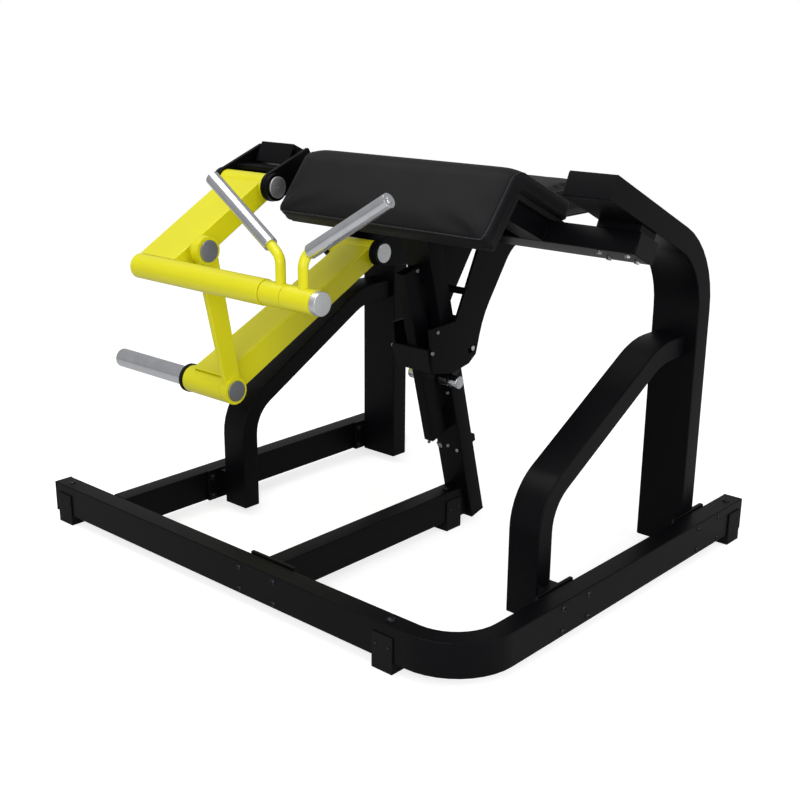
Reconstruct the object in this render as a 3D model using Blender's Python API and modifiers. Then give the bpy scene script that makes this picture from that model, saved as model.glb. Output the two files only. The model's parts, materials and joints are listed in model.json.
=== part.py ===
"""Plate-loaded preacher curl machine.

Metres, +Z up, the user sits at +Y and faces -Y. The origin is the middle of the centre foot's sole.
Lengths called "from front" run back from the front face of the base.
"""

import math

import bmesh
import bpy
from mathutils import Matrix, Vector

GAP = 0.0003
RUN = 0.0003
FACE_GAP = 0.0006
CUT_PAST = 0.010

BEAM_WIDTH = 0.050
BEAM_HEIGHT = 0.080
BEAM_UNDERSIDE = 0.025
TUBE_WALL = 0.003
TUBE_EDGE = 0.0025
BASE_HALF_WIDTH = 0.5935
RAIL_OVERHANG = 0.1885
RAIL_LEFT_END = -BASE_HALF_WIDTH - RAIL_OVERHANG
RAIL_CORNER_RADIUS = 0.155
BASE_DEPTH = 1.1165
POST_BEFORE_REAR = 0.171
POST_FROM_FRONT = BASE_DEPTH - POST_BEFORE_REAR
COLUMN_BEFORE_POST = 0.2235
COLUMN_FROM_FRONT = POST_FROM_FRONT - COLUMN_BEFORE_POST
FOOT_BEFORE_COLUMN = 0.061
FOOT_FROM_FRONT = COLUMN_FROM_FRONT - FOOT_BEFORE_COLUMN
FRONT_Y = -FOOT_FROM_FRONT
PLUG_FLANGE = 0.003
PLUG_DEPTH = 0.014

SHOE_LENGTH = 0.057
SHOE_WALL = 0.004
SHOE_TOP = 0.082
SHOE_INSET = 0.012
SHOE_EDGE = 0.0015
FRONT_LEFT_SHOE_INSET = 0.0435
FRONT_LEFT_SHOE_X = RAIL_LEFT_END + FRONT_LEFT_SHOE_INSET
FRONT_RIGHT_SHOE_INSET = 0.212
FRONT_RIGHT_SHOE_X = BASE_HALF_WIDTH - FRONT_RIGHT_SHOE_INSET

POST_WIDTH = 0.120
POST_DEPTH = 0.055
POST_INSET = 0.1205
POST_CENTRE_X = BASE_HALF_WIDTH - POST_INSET
POST_BOTTOM = 0.020
POST_ANGLE = math.radians(25.0)
POST_REACH = 0.423
POST_END_FROM_FRONT = POST_FROM_FRONT - POST_REACH
POST_END_HEIGHT = 0.9345
POST_BEND = 0.200
END_PLATE = 0.004

BRACE_WIDTH = 0.080
BRACE_DEPTH = 0.050
BRACE_INSET = 0.125
BRACE_CENTRE_X = BASE_HALF_WIDTH - BRACE_INSET
BRACE_FROM_FRONT = 0.374
BRACE_BOTTOM = 0.020
BRACE_ANGLE = math.radians(29.0)
BRACE_TOP = 0.5275
BRACE_KNEE_BEFORE_POST = 0.136
BRACE_KNEE_FROM_FRONT = POST_FROM_FRONT - BRACE_KNEE_BEFORE_POST
BRACE_LOWER_BEND = 0.120
BRACE_UPPER_BEND = 0.180

FLANGE_THICKNESS = 0.0098
FLANGE_MARGIN = 0.036
FLANGE_RISE = 0.004
MIDDLE_FLANGE_HALF = 0.070
PLATE_EDGE = 0.0015
STAND_OFF_LOW = 0.037

CROSSBAR_HEIGHT = 0.050
CROSSBAR_DEPTH = 0.080
CROSSBAR_FRONT = 0.145
CROSSBAR_SPACER = 0.0175
PAD_SIDE_ROOM = 0.153
PAD_HALF_WIDTH = POST_CENTRE_X - PAD_SIDE_ROOM
BRACKET_FROM_PAD_END = 0.050
BRACKET_X = PAD_HALF_WIDTH - BRACKET_FROM_PAD_END
BRACKET_WIDTH = 0.060
BRACKET_INSET = 0.001

PAD_CUSHION = 0.050
PAD_BOARD = 0.012
PAD_RIDGE_BEFORE_POST = 0.0325
PAD_RIDGE_FROM_FRONT = POST_END_FROM_FRONT - PAD_RIDGE_BEFORE_POST
PAD_FRONT_ANGLE = math.radians(51.5)
PAD_FRONT_LENGTH = 0.193
PAD_REAR_LENGTH = 0.249
PAD_EDGE = 0.010
BOARD_INSET = 0.012

COLUMN_ANGLE = math.radians(14.7)
COLUMN_BOTTOM = 0.017
COLUMN_DEPTH = 0.050
COLUMN_WIDTH = 0.080
COLUMN_HEAD_BELOW_POST = 0.1437
COLUMN_RISE = POST_END_HEIGHT - COLUMN_HEAD_BELOW_POST - COLUMN_BOTTOM
COLUMN_LENGTH = COLUMN_RISE / math.cos(COLUMN_ANGLE)
GUIDE_WIDTH = 0.030
GUIDE_DEPTH = 0.055
GUIDE_SETBACK = 0.070
GUIDE_START = 0.262
GUIDE_BELOW_HEAD = 0.084
GUIDE_END = COLUMN_LENGTH - GUIDE_BELOW_HEAD
GUIDE_BRACKET = 0.045
GUIDE_BRACKET_INSET = 0.006
HEAD_BRACKET_WIDTH = 0.060
HEAD_BRACKET_TOP = 0.012
HEAD_BRACKET_LENGTH = 0.073

RACK_PITCH = 0.0256
RACK_BASE = 0.008
RACK_TOOTH = 0.012
RACK_WIDTH = 0.024
RACK_START = 0.225
RACK_TEETH = 13
RACK_STOP_DEPTH = 0.040
RACK_STOP_HEIGHT = 0.020
PAWL_TOOTH = 9
NOTCH_START = 0.08
NOTCH_END = 0.62
NOTCH_SEAT = 0.35

SEAT_ARM_X = 0.054
SEAT_ARM_PLATE = 0.008
SEAT_ARM_WIDTH = 0.050
SEAT_ARM_BODY = ((-0.111, 0.566), (-0.208, 0.562), (-0.195, 0.452), (-0.122, 0.438), (-0.058, 0.450))
SEAT_ARM_HEEL = (-0.0305, 0.470)
SEAT_ARM_KNEE = (-0.0068, 0.5585)
SEAT_ARM_REAR_ANGLE = math.radians(34.6)
SEAT_ARM_FRONT_ANGLE = math.radians(25.4)
SEAT_ARM_KNEE_BEND = 0.250
SEAT_ARM_REAR_BEND = 0.100
SEAT_ARM_FRONT_BEND = 0.060
SEAT_SPACER_FROM_COLUMN = -0.027
SEAT_SPACER_HEIGHT = 0.620
SEAT_SPACER_RADIUS = 0.009
PAWL_RADIUS = 0.0065
RELEASE_LINK_X = 0.0445
RELEASE_LINK = 0.006
RELEASE_LINK_HALF = 0.010
RELEASE_TRAVEL = 0.0125
KNOB_RADIUS = 0.016
KNOB_LENGTH = 0.027
KNOB_FROM_COLUMN = -0.124
KNOB_HEIGHT = 0.412
GLIDE_THICKNESS = 0.008
FRONT_GLIDE_START = 0.470
FRONT_GLIDE_LENGTH = 0.060
REAR_GLIDE_START = 0.512
REAR_GLIDE_LENGTH = 0.048

SEAT_PLATE = 0.006
SEAT_PLATE_INSET = 0.025
SEAT_HALF_WIDTH = 0.150
SEAT_START_FROM_COLUMN = 0.108
SEAT_END_FROM_COLUMN = 0.368
SEAT_UNDERSIDE = 0.783
SEAT_CUSHION = 0.078

LEVER_X = -POST_CENTRE_X
CAP_FACE_SHIFT = 0.113
CAP_FACE_X = LEVER_X + CAP_FACE_SHIFT
INNER_CHEEK_SHIFT = 0.091
INNER_CHEEK_X = LEVER_X + INNER_CHEEK_SHIFT
OUTER_CHEEK_SHIFT = -0.081
OUTER_CHEEK_X = LEVER_X + OUTER_CHEEK_SHIFT
CHEEK = 0.012
CHEEK_RADIUS = 0.036
BOSS_RADIUS = 0.034
BOSS_FACE_SHIFT = 0.109
BOSS_FACE_X = LEVER_X + BOSS_FACE_SHIFT
OUTER_BOSS_SHIFT = -0.095
OUTER_BOSS_X = LEVER_X + OUTER_BOSS_SHIFT
OUTER_CAP_SHIFT = -0.0995
OUTER_CAP_X = LEVER_X + OUTER_CAP_SHIFT
CAP_EDGE = 0.001
UPPER_CHEEK_REACH = 0.145
UPPER_CHEEK_FOOT = 0.085
LOWER_CHEEK_REACH = 0.040
LOWER_CHEEK_DROP = 0.016
SPACER_INSET = 0.006
WEB_BACK = 0.026
WEB_RISE = 0.031
WEB_LENGTH = 0.048
WEB_THICKNESS = 0.010
PIVOT_CAP_RADIUS = 0.0265
SHAFT_RADIUS = 0.0125
BUSH_WALL = 0.005
HUB_RADIUS = 0.030

UPPER_PIVOT_BEFORE_POST = 0.0935
UPPER_PIVOT_FROM_FRONT = POST_END_FROM_FRONT - UPPER_PIVOT_BEFORE_POST
UPPER_PIVOT_BELOW_POST = 0.0695
UPPER_PIVOT_HEIGHT = POST_END_HEIGHT - UPPER_PIVOT_BELOW_POST
LOWER_PIVOT_BEFORE_POST = 0.1275
LOWER_PIVOT_FROM_FRONT = POST_FROM_FRONT - LOWER_PIVOT_BEFORE_POST
LOWER_PIVOT_HEIGHT = 0.650
TOP_LINE_ANGLE = math.radians(21.0)

ARM_OUTER_SHIFT = -0.057
ARM_OUTER_X = LEVER_X + ARM_OUTER_SHIFT
ARM_INNER_SHIFT = 0.073
ARM_INNER_X = LEVER_X + ARM_INNER_SHIFT
ARM_ABOVE = 0.024
ARM_BELOW = 0.032
ARM_WALL = 0.004
HANDLE_BEFORE_PIVOT = 0.304
HANDLE_FROM_FRONT = UPPER_PIVOT_FROM_FRONT - HANDLE_BEFORE_PIVOT
HANDLE_HEIGHT = 0.693
HANDLE_TUBE_RADIUS = 0.030
HANDLE_TUBE_WALL = 0.004
HANDLE_TUBE_LEFT_SHIFT = -0.053
HANDLE_TUBE_LEFT = LEVER_X + HANDLE_TUBE_LEFT_SHIFT
HANDLE_TUBE_RIGHT = -0.0775
AXLE_RADIUS = 0.015
AXLE_ROOT = 0.055
HANDLE_HUB_RADIUS = 0.0275
HUB_SPLIT_X = -0.0105
HUB_END_X = 0.0790
END_CAP_X = 0.096
END_CAP_RADIUS = 0.026

STEM_RADIUS = 0.0115
STEM_ROOT = 0.021
STEM_RISE = 0.068
STEM_X = {"left": -0.030, "right": 0.039}
GRIP_RADIUS = 0.0165
GRIP_START_X = {"left": -0.075, "right": 0.046}
GRIP_END_X = {"left": -0.287, "right": 0.248}
GRIP_START_BACK = 0.015
GRIP_START_RISE = 0.102
GRIP_END_BACK = 0.036
GRIP_END_RISE = 0.226
GRIP_CORE_STOP = 0.006
GRIP_SCREW = 0.0024
GRIP_SCREW_RADIUS = 0.007

LINK_TOP_FROM_HANDLE = 0.0913
LINK_TOP_BELOW_ARM = 0.0011
LINK_BOTTOM_BEFORE_PIVOT = 0.543
LINK_BOTTOM_FROM_FRONT = LOWER_PIVOT_FROM_FRONT - LINK_BOTTOM_BEFORE_PIVOT
LINK_BOTTOM_HEIGHT = 0.377
LINK_EYE_RADIUS = 0.035
LINK_BOSS_RADIUS = 0.026
LINK_PIN_RADIUS = 0.010
LINK_FACE_SHIFT = 0.109
LINK_FACE_X = LEVER_X + LINK_FACE_SHIFT
LINK_BACK_SHIFT = 0.085
LINK_BACK_X = LEVER_X + LINK_BACK_SHIFT
LINK_BAR = 0.016
LINK_TOP_HALF = 0.030
LINK_BOTTOM_HALF = 0.024

WEIGHT_OUTER_SHIFT = -0.032
WEIGHT_OUTER_X = LEVER_X + WEIGHT_OUTER_SHIFT
WEIGHT_INNER_SHIFT = 0.078
WEIGHT_INNER_X = LEVER_X + WEIGHT_INNER_SHIFT
WEIGHT_ABOVE_REAR = 0.024
WEIGHT_ABOVE_FRONT = 0.044
WEIGHT_BELOW = 0.031
WEIGHT_HUB_RADIUS = 0.035
WEIGHT_HUB_OUTER_SHIFT = -0.06
WEIGHT_HUB_OUTER_X = LEVER_X + WEIGHT_HUB_OUTER_SHIFT
COLLAR_RADIUS = 0.037
COLLAR_OUTER_SHIFT = -0.073
COLLAR_OUTER_X = LEVER_X + COLLAR_OUTER_SHIFT
HORN_RADIUS = 0.025
HORN_END_SHIFT = -0.359
HORN_END_X = LEVER_X + HORN_END_SHIFT
HORN_WALL = 0.005
HORN_SOCKET = 0.060

ROUND_SIDES = 32
PIN_SIDES = 24
SMALL_SIDES = 16
ARC_ANGLE = math.radians(9.0)
SHARP_ANGLE = math.radians(35.0)
BEVEL_ANGLE = math.radians(50.0)
FLAT_ANGLE = math.radians(0.5)
MERGE = 0.00002
PAD_EDGE_STEPS = 3
STEM_RING = 5
STEM_STEPS = 6

YELLOW = (0.76, 0.71, 0.03, 1.0)
BLACK = (0.012, 0.012, 0.013, 1.0)
VINYL = (0.010, 0.010, 0.011, 1.0)
CHROME = (0.72, 0.73, 0.75, 1.0)
GREY = (0.32, 0.33, 0.35, 1.0)
RUBBER = (0.015, 0.015, 0.015, 1.0)
NYLON = (0.03, 0.03, 0.03, 1.0)
WOOD = (0.020, 0.018, 0.018, 1.0)
STEEL = (0.20, 0.20, 0.21, 1.0)

SIDES = (("left", -1.0), ("right", 1.0))


def from_front(distance):
    """Y of a point that lies this far behind the front face of the base."""
    return FRONT_Y + distance


def from_column(distance):
    """Y of a point that lies this far behind the front of the column's foot."""
    return from_front(COLUMN_FROM_FRONT + distance)


UPPER_PIVOT = Vector((0.0, from_front(UPPER_PIVOT_FROM_FRONT), UPPER_PIVOT_HEIGHT))
LOWER_PIVOT = Vector((0.0, from_front(LOWER_PIVOT_FROM_FRONT), LOWER_PIVOT_HEIGHT))
HANDLE_AXIS = Vector((0.0, from_front(HANDLE_FROM_FRONT), HANDLE_HEIGHT))
ARM_LINE = (UPPER_PIVOT - HANDLE_AXIS).normalized()
LINK_TOP = HANDLE_AXIS + ARM_LINE * LINK_TOP_FROM_HANDLE
LINK_TOP += Vector((0.0, ARM_LINE.z, -ARM_LINE.y)) * LINK_TOP_BELOW_ARM
LINK_BOTTOM = Vector((0.0, from_front(LINK_BOTTOM_FROM_FRONT), LINK_BOTTOM_HEIGHT))
BEAM_TOP = BEAM_UNDERSIDE + BEAM_HEIGHT
REAR_Y = from_front(BASE_DEPTH)
INNER_BEAM_FACE = BASE_HALF_WIDTH - BEAM_WIDTH


def clear_scene():
    for old in list(bpy.data.objects):
        bpy.data.objects.remove(old, do_unlink=True)
    for name in ("biceps_machine", "cutters"):
        found = bpy.data.collections.new(name)
        bpy.context.scene.collection.children.link(found)


def principled(name, colour, roughness, metallic):
    material = bpy.data.materials.new(name)
    material.use_nodes = True
    shader = material.node_tree.nodes["Principled BSDF"]
    shader.inputs["Base Color"].default_value = colour
    shader.inputs["Roughness"].default_value = roughness
    shader.inputs["Metallic"].default_value = metallic
    return material


def add_object(name, mesh, look=None):
    """Links a mesh as a sub-part with its own material, or as a cutter where no look is given."""
    made = bpy.data.objects.new(name, mesh)
    if look is None:
        made.hide_render = True
        made.display_type = "WIRE"
        bpy.data.collections["cutters"].objects.link(made)
        return made
    colour, roughness, metallic = look
    mesh.materials.clear()
    mesh.materials.append(principled(name, colour, roughness, metallic))
    mesh.shade_smooth()
    mesh.set_sharp_from_angle(angle=SHARP_ANGLE)
    bpy.data.collections["biceps_machine"].objects.link(made)
    return made


PAINT_YELLOW = (YELLOW, 0.32, 0.0)
PAINT_BLACK = (BLACK, 0.45, 0.0)
LEATHERETTE = (VINYL, 0.55, 0.0)
BRIGHT = (CHROME, 0.12, 1.0)
BRUSHED = (GREY, 0.35, 1.0)
SOFT_RUBBER = (RUBBER, 0.75, 0.0)
PLASTIC = (NYLON, 0.50, 0.0)
PLYWOOD = (WOOD, 0.70, 0.0)
ZINC = (STEEL, 0.40, 1.0)


def object_from(name, solid, look=None):
    mesh = bpy.data.meshes.new(name)
    solid.to_mesh(mesh)
    solid.free()
    return add_object(name, mesh, look)


def box(name, low, high, look=None):
    low, high = Vector(low), Vector(high)
    size = high - low
    place = Matrix.Translation((low + high) / 2.0) @ Matrix.Diagonal((size.x, size.y, size.z, 1.0))
    solid = bmesh.new()
    bmesh.ops.create_cube(solid, size=1.0, matrix=place)
    return object_from(name, solid, look)


def rod(name, start, end, radius, look=None, sides=ROUND_SIDES):
    start, end = Vector(start), Vector(end)
    along = end - start
    turn = Vector((0.0, 0.0, 1.0)).rotation_difference(along.normalized()).to_matrix().to_4x4()
    place = Matrix.Translation((start + end) / 2.0) @ turn
    solid = bmesh.new()
    bmesh.ops.create_cone(
        solid, cap_ends=True, segments=sides, radius1=radius, radius2=radius, depth=along.length, matrix=place
    )
    return object_from(name, solid, look)


def mesh_from_curve(name, curve, flat):
    """Turns a curve into a welded mesh, with its flat faces whole, and removes the curve."""
    source = bpy.data.objects.new(name, curve)
    bpy.context.scene.collection.objects.link(source)
    evaluated = source.evaluated_get(bpy.context.evaluated_depsgraph_get())
    mesh = bpy.data.meshes.new_from_object(evaluated)
    bpy.data.objects.remove(source, do_unlink=True)
    bpy.data.curves.remove(curve)
    solid = bmesh.new()
    solid.from_mesh(mesh)
    bmesh.ops.remove_doubles(solid, verts=solid.verts, dist=MERGE)
    if flat:
        bmesh.ops.dissolve_limit(solid, angle_limit=FLAT_ANGLE, verts=solid.verts, edges=solid.edges)
    bmesh.ops.recalc_face_normals(solid, faces=solid.faces)
    solid.to_mesh(mesh)
    solid.free()
    return mesh


def flat_mesh(name, outline, thickness):
    curve = bpy.data.curves.new(name, "CURVE")
    curve.dimensions = "2D"
    curve.fill_mode = "BOTH"
    curve.extrude = thickness / 2.0
    spline = curve.splines.new("POLY")
    spline.points.add(len(outline) - 1)
    for point, (across, up) in zip(spline.points, outline):
        point.co = (across, up, 0.0, 1.0)
    spline.use_cyclic_u = True
    return mesh_from_curve(name, curve, flat=True)


def plate(name, outline, x_low, x_high, look=None):
    """A flat outline in the Y-Z plane, thick along X."""
    mesh = flat_mesh(name, outline, x_high - x_low)
    axes = Matrix(((0.0, 0.0, 1.0, (x_low + x_high) / 2.0), (1.0, 0.0, 0.0, 0.0), (0.0, 1.0, 0.0, 0.0),
                   (0.0, 0.0, 0.0, 1.0)))
    mesh.transform(axes)
    return add_object(name, mesh, look)


def slab(name, outline, z_low, z_high, look=None):
    """A flat outline in the X-Y plane, thick along Z."""
    mesh = flat_mesh(name, outline, z_high - z_low)
    mesh.transform(Matrix.Translation((0.0, 0.0, (z_low + z_high) / 2.0)))
    return add_object(name, mesh, look)


def soften(target, width, segments=1):
    edge = target.modifiers.new("soft_edges", "BEVEL")
    edge.width = width
    edge.segments = segments
    edge.limit_method = "ANGLE"
    edge.angle_limit = BEVEL_ANGLE
    return target


def combine(target, other, operation):
    boolean = target.modifiers.new(operation.lower(), "BOOLEAN")
    boolean.operation = operation
    boolean.solver = "EXACT"
    boolean.object = other
    return target


def cut(target, *others):
    for other in others:
        combine(target, other, "DIFFERENCE")
    return target


def join(target, *others):
    for other in others:
        combine(target, other, "UNION")
    return target


def put_origin(target, point):
    """Moves an object's origin to a point without moving its shape."""
    point = Vector(point)
    target.data.transform(Matrix.Translation(-point))
    target.location = point
    return target


def arc(centre, radius, start, end):
    steps = max(2, math.ceil(abs(end - start) / ARC_ANGLE))
    angles = [start + (end - start) * step / steps for step in range(steps + 1)]
    return [(centre[0] + radius * math.cos(a), centre[1] + radius * math.sin(a)) for a in angles]


def rounded_path(corners, radii):
    """A line through corner points with each inner corner turned into an arc."""
    path = [Vector(corners[0])]
    for index in range(1, len(corners) - 1):
        corner = Vector(corners[index])
        before = (Vector(corners[index - 1]) - corner).normalized()
        after = (Vector(corners[index + 1]) - corner).normalized()
        half = before.angle(after) / 2.0
        radius = radii[index - 1]
        reach = radius / math.tan(half)
        middle = corner + (before + after).normalized() * (radius / math.sin(half))
        start = corner + before * reach - middle
        end = corner + after * reach - middle
        begin = math.atan2(start.y, start.x)
        sweep = math.atan2(start.x * end.y - start.y * end.x, start.dot(end))
        path.extend(Vector(point) for point in arc(middle, radius, begin, begin + sweep))
    path.append(Vector(corners[-1]))
    return path


def band(path, half, before=0.0, after=0.0):
    """The outline of a strip along a path, made longer at its start and at its end."""
    points = [point.copy() for point in path]
    points[0] += (points[0] - points[1]).normalized() * before
    points[-1] += (points[-1] - points[-2]).normalized() * after
    left, right = [], []
    for index, point in enumerate(points):
        before = (point - points[index - 1]).normalized() if index else None
        after = (points[index + 1] - point).normalized() if index < len(points) - 1 else None
        along = ((before or after) + (after or before)).normalized()
        stretch = 1.0 / max(0.5, along.dot(after or before))
        side = Vector((-along.y, along.x)) * half * stretch
        left.append(point + side)
        right.append(point - side)
    return [tuple(point) for point in left + right[::-1]]


def bent_tube(name, maker, path, depth, low, high, look, past_end=TUBE_WALL):
    """A hollow bent tube, open at both ends, or closed at its end where the hollow stops short of it."""
    outer = soften(maker(name, band(path, depth / 2.0), low, high, look), TUBE_EDGE)
    hollow = band(path, depth / 2.0 - TUBE_WALL, TUBE_WALL, past_end)
    return cut(outer, maker(name + "_hollow", hollow, low + TUBE_WALL, high - TUBE_WALL))


def lug_outline(pivot, radius, far_high, far_low):
    """A plate that is round about a pivot and runs with tangents to two far corners."""
    centre = Vector((pivot.y, pivot.z))
    tangents = []
    for far, side in ((Vector(far_high), 1.0), (Vector(far_low), -1.0)):
        span = far - centre
        swing = math.acos(radius / span.length)
        tangents.append(math.atan2(span.y, span.x) + side * swing)
    start, end = tangents
    while end < start:
        end += 2.0 * math.pi
    return [tuple(far_high)] + arc(centre, radius, start, end) + [tuple(far_low)]


def build_base_rail():
    middle = BEAM_WIDTH / 2.0
    corners = [(RAIL_LEFT_END + PLUG_FLANGE + GAP, FRONT_Y + middle),
               (BASE_HALF_WIDTH - middle, FRONT_Y + middle),
               (BASE_HALF_WIDTH - middle, REAR_Y - PLUG_FLANGE - GAP)]
    path = rounded_path(corners, [RAIL_CORNER_RADIUS - middle])
    return bent_tube("base_rail", slab, path, BEAM_WIDTH, BEAM_UNDERSIDE, BEAM_TOP, PAINT_BLACK)


def build_left_beam():
    x = -BASE_HALF_WIDTH + BEAM_WIDTH / 2.0
    path = [Vector((x, FRONT_Y + BEAM_WIDTH + GAP)), Vector((x, REAR_Y - PLUG_FLANGE - GAP))]
    return bent_tube("left_beam", slab, path, BEAM_WIDTH, BEAM_UNDERSIDE, BEAM_TOP, PAINT_BLACK)


def on_column(behind, along):
    """Y and Z of a point behind the column's front face and up along it."""
    lean = COLUMN_ANGLE
    y = from_front(COLUMN_FROM_FRONT) + behind * math.cos(lean) - along * math.sin(lean)
    z = COLUMN_BOTTOM + behind * math.sin(lean) + along * math.cos(lean)
    return (y, z)


def column_y(height, behind):
    """Y at a height on the plane that lies behind the column's front face."""
    drop = (height - COLUMN_BOTTOM) * math.tan(COLUMN_ANGLE)
    return from_front(COLUMN_FROM_FRONT) + behind / math.cos(COLUMN_ANGLE) - drop


def along_column(behind_low, behind_high, low, high):
    return [on_column(behind_low, low), on_column(behind_high, low), on_column(behind_high, high),
            on_column(behind_low, high)]


def build_middle_beam():
    """Beam from the front rail to the column, with a wide plate welded across its front end."""
    start = FRONT_Y + BEAM_WIDTH + GAP

    def outline(front, inset, reach):
        low, high = BEAM_UNDERSIDE + inset, BEAM_TOP - inset
        return [(front, low), (column_y(low, reach), low), (column_y(high, reach), high), (front, high)]

    half = BEAM_WIDTH / 2.0
    beam = plate("middle_beam", outline(start + FLANGE_THICKNESS / 2.0, 0.0, -GAP), -half, half, PAINT_BLACK)
    hollow = outline(start + FLANGE_THICKNESS + TUBE_WALL, TUBE_WALL, TUBE_WALL)
    cut(soften(beam, TUBE_EDGE), plate("middle_beam_hollow", hollow, TUBE_WALL - half, half - TUBE_WALL))
    flange = box("middle_flange", (-MIDDLE_FLANGE_HALF, start, BEAM_UNDERSIDE),
                 (MIDDLE_FLANGE_HALF, start + FLANGE_THICKNESS, BEAM_TOP + FLANGE_RISE))
    join(beam, soften(flange, PLATE_EDGE))


def build_beam_plug(name, x, y, axis, inward):
    """Moulded plug: a flange over the open end of a beam and a stub inside it."""
    pieces = []
    for part, inset, start, reach in (("", 0.0, 0.0, PLUG_FLANGE),
                                      ("_stub", TUBE_WALL + GAP, PLUG_FLANGE / 2.0, PLUG_DEPTH)):
        half = BEAM_WIDTH / 2.0 - inset
        near, far = sorted((inward * start, inward * reach))
        low, high = Vector((x - half, y + near, 0.0)), Vector((x + half, y + far, 0.0))
        if axis == "x":
            low, high = Vector((x + near, y - half, 0.0)), Vector((x + far, y + half, 0.0))
        low.z, high.z = BEAM_UNDERSIDE + inset, BEAM_TOP - inset
        pieces.append(box(name + part, low, high, None if pieces else PLASTIC))
    join(*pieces)


def build_column_plug():
    half, inset = COLUMN_WIDTH / 2.0, TUBE_WALL + GAP
    flange = plate("column_plug", along_column(0.0, COLUMN_DEPTH, 0.0, PLUG_FLANGE), -half, half, PLASTIC)
    stub = along_column(inset, COLUMN_DEPTH - inset, PLUG_FLANGE / 2.0, PLUG_DEPTH)
    join(flange, plate("column_plug_stub", stub, -half + inset, half - inset))


def build_shoe(name, x, y, axis):
    """Moulded shoe that holds a beam off the floor from below and from both sides."""
    half = Vector((SHOE_LENGTH / 2.0, BEAM_WIDTH / 2.0 + SHOE_WALL, 0.0))
    slot = Vector((SHOE_LENGTH, BEAM_WIDTH / 2.0 + GAP, 0.0))
    if axis == "y":
        half, slot = half.yxz, slot.yxz
    centre = Vector((x, y, 0.0))
    floor = Vector((0.0, 0.0, BEAM_UNDERSIDE - GAP))
    rise = Vector((0.0, 0.0, SHOE_TOP))
    shoe = soften(box(name, centre - half, centre + half + rise, SOFT_RUBBER), SHOE_EDGE)
    cut(shoe, box(name + "_slot", centre - slot + floor, centre + slot + 2.0 * rise))


def build_shoes():
    beam_x = BASE_HALF_WIDTH - BEAM_WIDTH / 2.0
    front = FRONT_Y + BEAM_WIDTH / 2.0
    rear = REAR_Y - SHOE_INSET - SHOE_LENGTH / 2.0
    build_shoe("front_left_foot", FRONT_LEFT_SHOE_X, front, "x")
    build_shoe("front_right_foot", FRONT_RIGHT_SHOE_X, front, "x")
    build_shoe("rear_left_foot", -beam_x, rear, "y")
    build_shoe("rear_right_foot", beam_x, rear, "y")
    build_shoe("centre_foot", 0.0, 0.0, "y")


def side_flange(name, sign, centre, depth, inner):
    """Plate against the inner face of a side beam, reaching in to an inner X."""
    y = from_front(centre)
    reach = depth / 2.0 + FLANGE_MARGIN
    low, high = sorted((sign * (INNER_BEAM_FACE - GAP), sign * inner))
    flange = box(name, (low, y - reach, BEAM_UNDERSIDE), (high, y + reach, BEAM_TOP + FLANGE_RISE))
    return soften(flange, PLATE_EDGE)


def build_post(side, sign):
    """Post whose head bends forward to a closed end, with a flange plate welded to its foot."""
    y = from_front(POST_FROM_FRONT)
    end = Vector((from_front(POST_END_FROM_FRONT), POST_END_HEIGHT))
    corner = Vector((y, end.y - (y - end.x) * math.tan(POST_ANGLE)))
    path = rounded_path([(y, POST_BOTTOM), corner, end], [POST_BEND])
    outer = POST_CENTRE_X + POST_WIDTH / 2.0
    low, high = sorted((sign * outer, sign * (outer - POST_WIDTH)))
    post = bent_tube(f"{side}_post", plate, path, POST_DEPTH, low, high, PAINT_BLACK, -END_PLATE)
    join(post, side_flange(f"{side}_post_flange", sign, POST_FROM_FRONT, POST_DEPTH, outer - TUBE_WALL / 2.0))


def build_brace(side, sign):
    """Bent brace from the base up to the front face of a post, on a flange with a stand-off."""
    y = from_front(BRACE_FROM_FRONT)
    rear = from_front(POST_FROM_FRONT) - POST_DEPTH / 2.0 - GAP
    knee_high = Vector((from_front(BRACE_KNEE_FROM_FRONT), BRACE_TOP))
    knee_low = Vector((y, BRACE_TOP - (knee_high.x - y) * math.tan(BRACE_ANGLE)))
    path = rounded_path([(y, BRACE_BOTTOM), knee_low, knee_high, (rear, BRACE_TOP)],
                        [BRACE_LOWER_BEND, BRACE_UPPER_BEND])
    outer = BRACE_CENTRE_X + BRACE_WIDTH / 2.0
    low, high = sorted((sign * outer, sign * (outer - BRACE_WIDTH)))
    brace = bent_tube(f"{side}_brace", plate, path, BRACE_DEPTH, low, high, PAINT_BLACK)
    inner = INNER_BEAM_FACE - GAP - FLANGE_THICKNESS
    low, high = sorted((sign * (outer - TUBE_WALL / 2.0), sign * (inner + FLANGE_THICKNESS / 2.0)))
    half = BRACE_DEPTH / 2.0 - TUBE_EDGE - GAP
    stand_off = box(f"{side}_brace_stand_off", (low, y - half, STAND_OFF_LOW), (high, y + half, BEAM_TOP))
    join(brace, stand_off, side_flange(f"{side}_brace_flange", sign, BRACE_FROM_FRONT, BRACE_DEPTH, inner))


def on_post_arm(back, below):
    """Y and Z of a point back from the post's square end and below its underside."""
    end = Vector((from_front(POST_END_FROM_FRONT), POST_END_HEIGHT))
    away = Vector((-math.cos(POST_ANGLE), math.sin(POST_ANGLE)))
    down = Vector((-math.sin(POST_ANGLE), -math.cos(POST_ANGLE)))
    place = end - away * back + down * (POST_DEPTH / 2.0 + below)
    return (place.x, place.y)


def arm_patch(back_low, back_high, below_low, below_high):
    return [on_post_arm(back_low, below_low), on_post_arm(back_low, below_high),
            on_post_arm(back_high, below_high), on_post_arm(back_high, below_low)]


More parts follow.
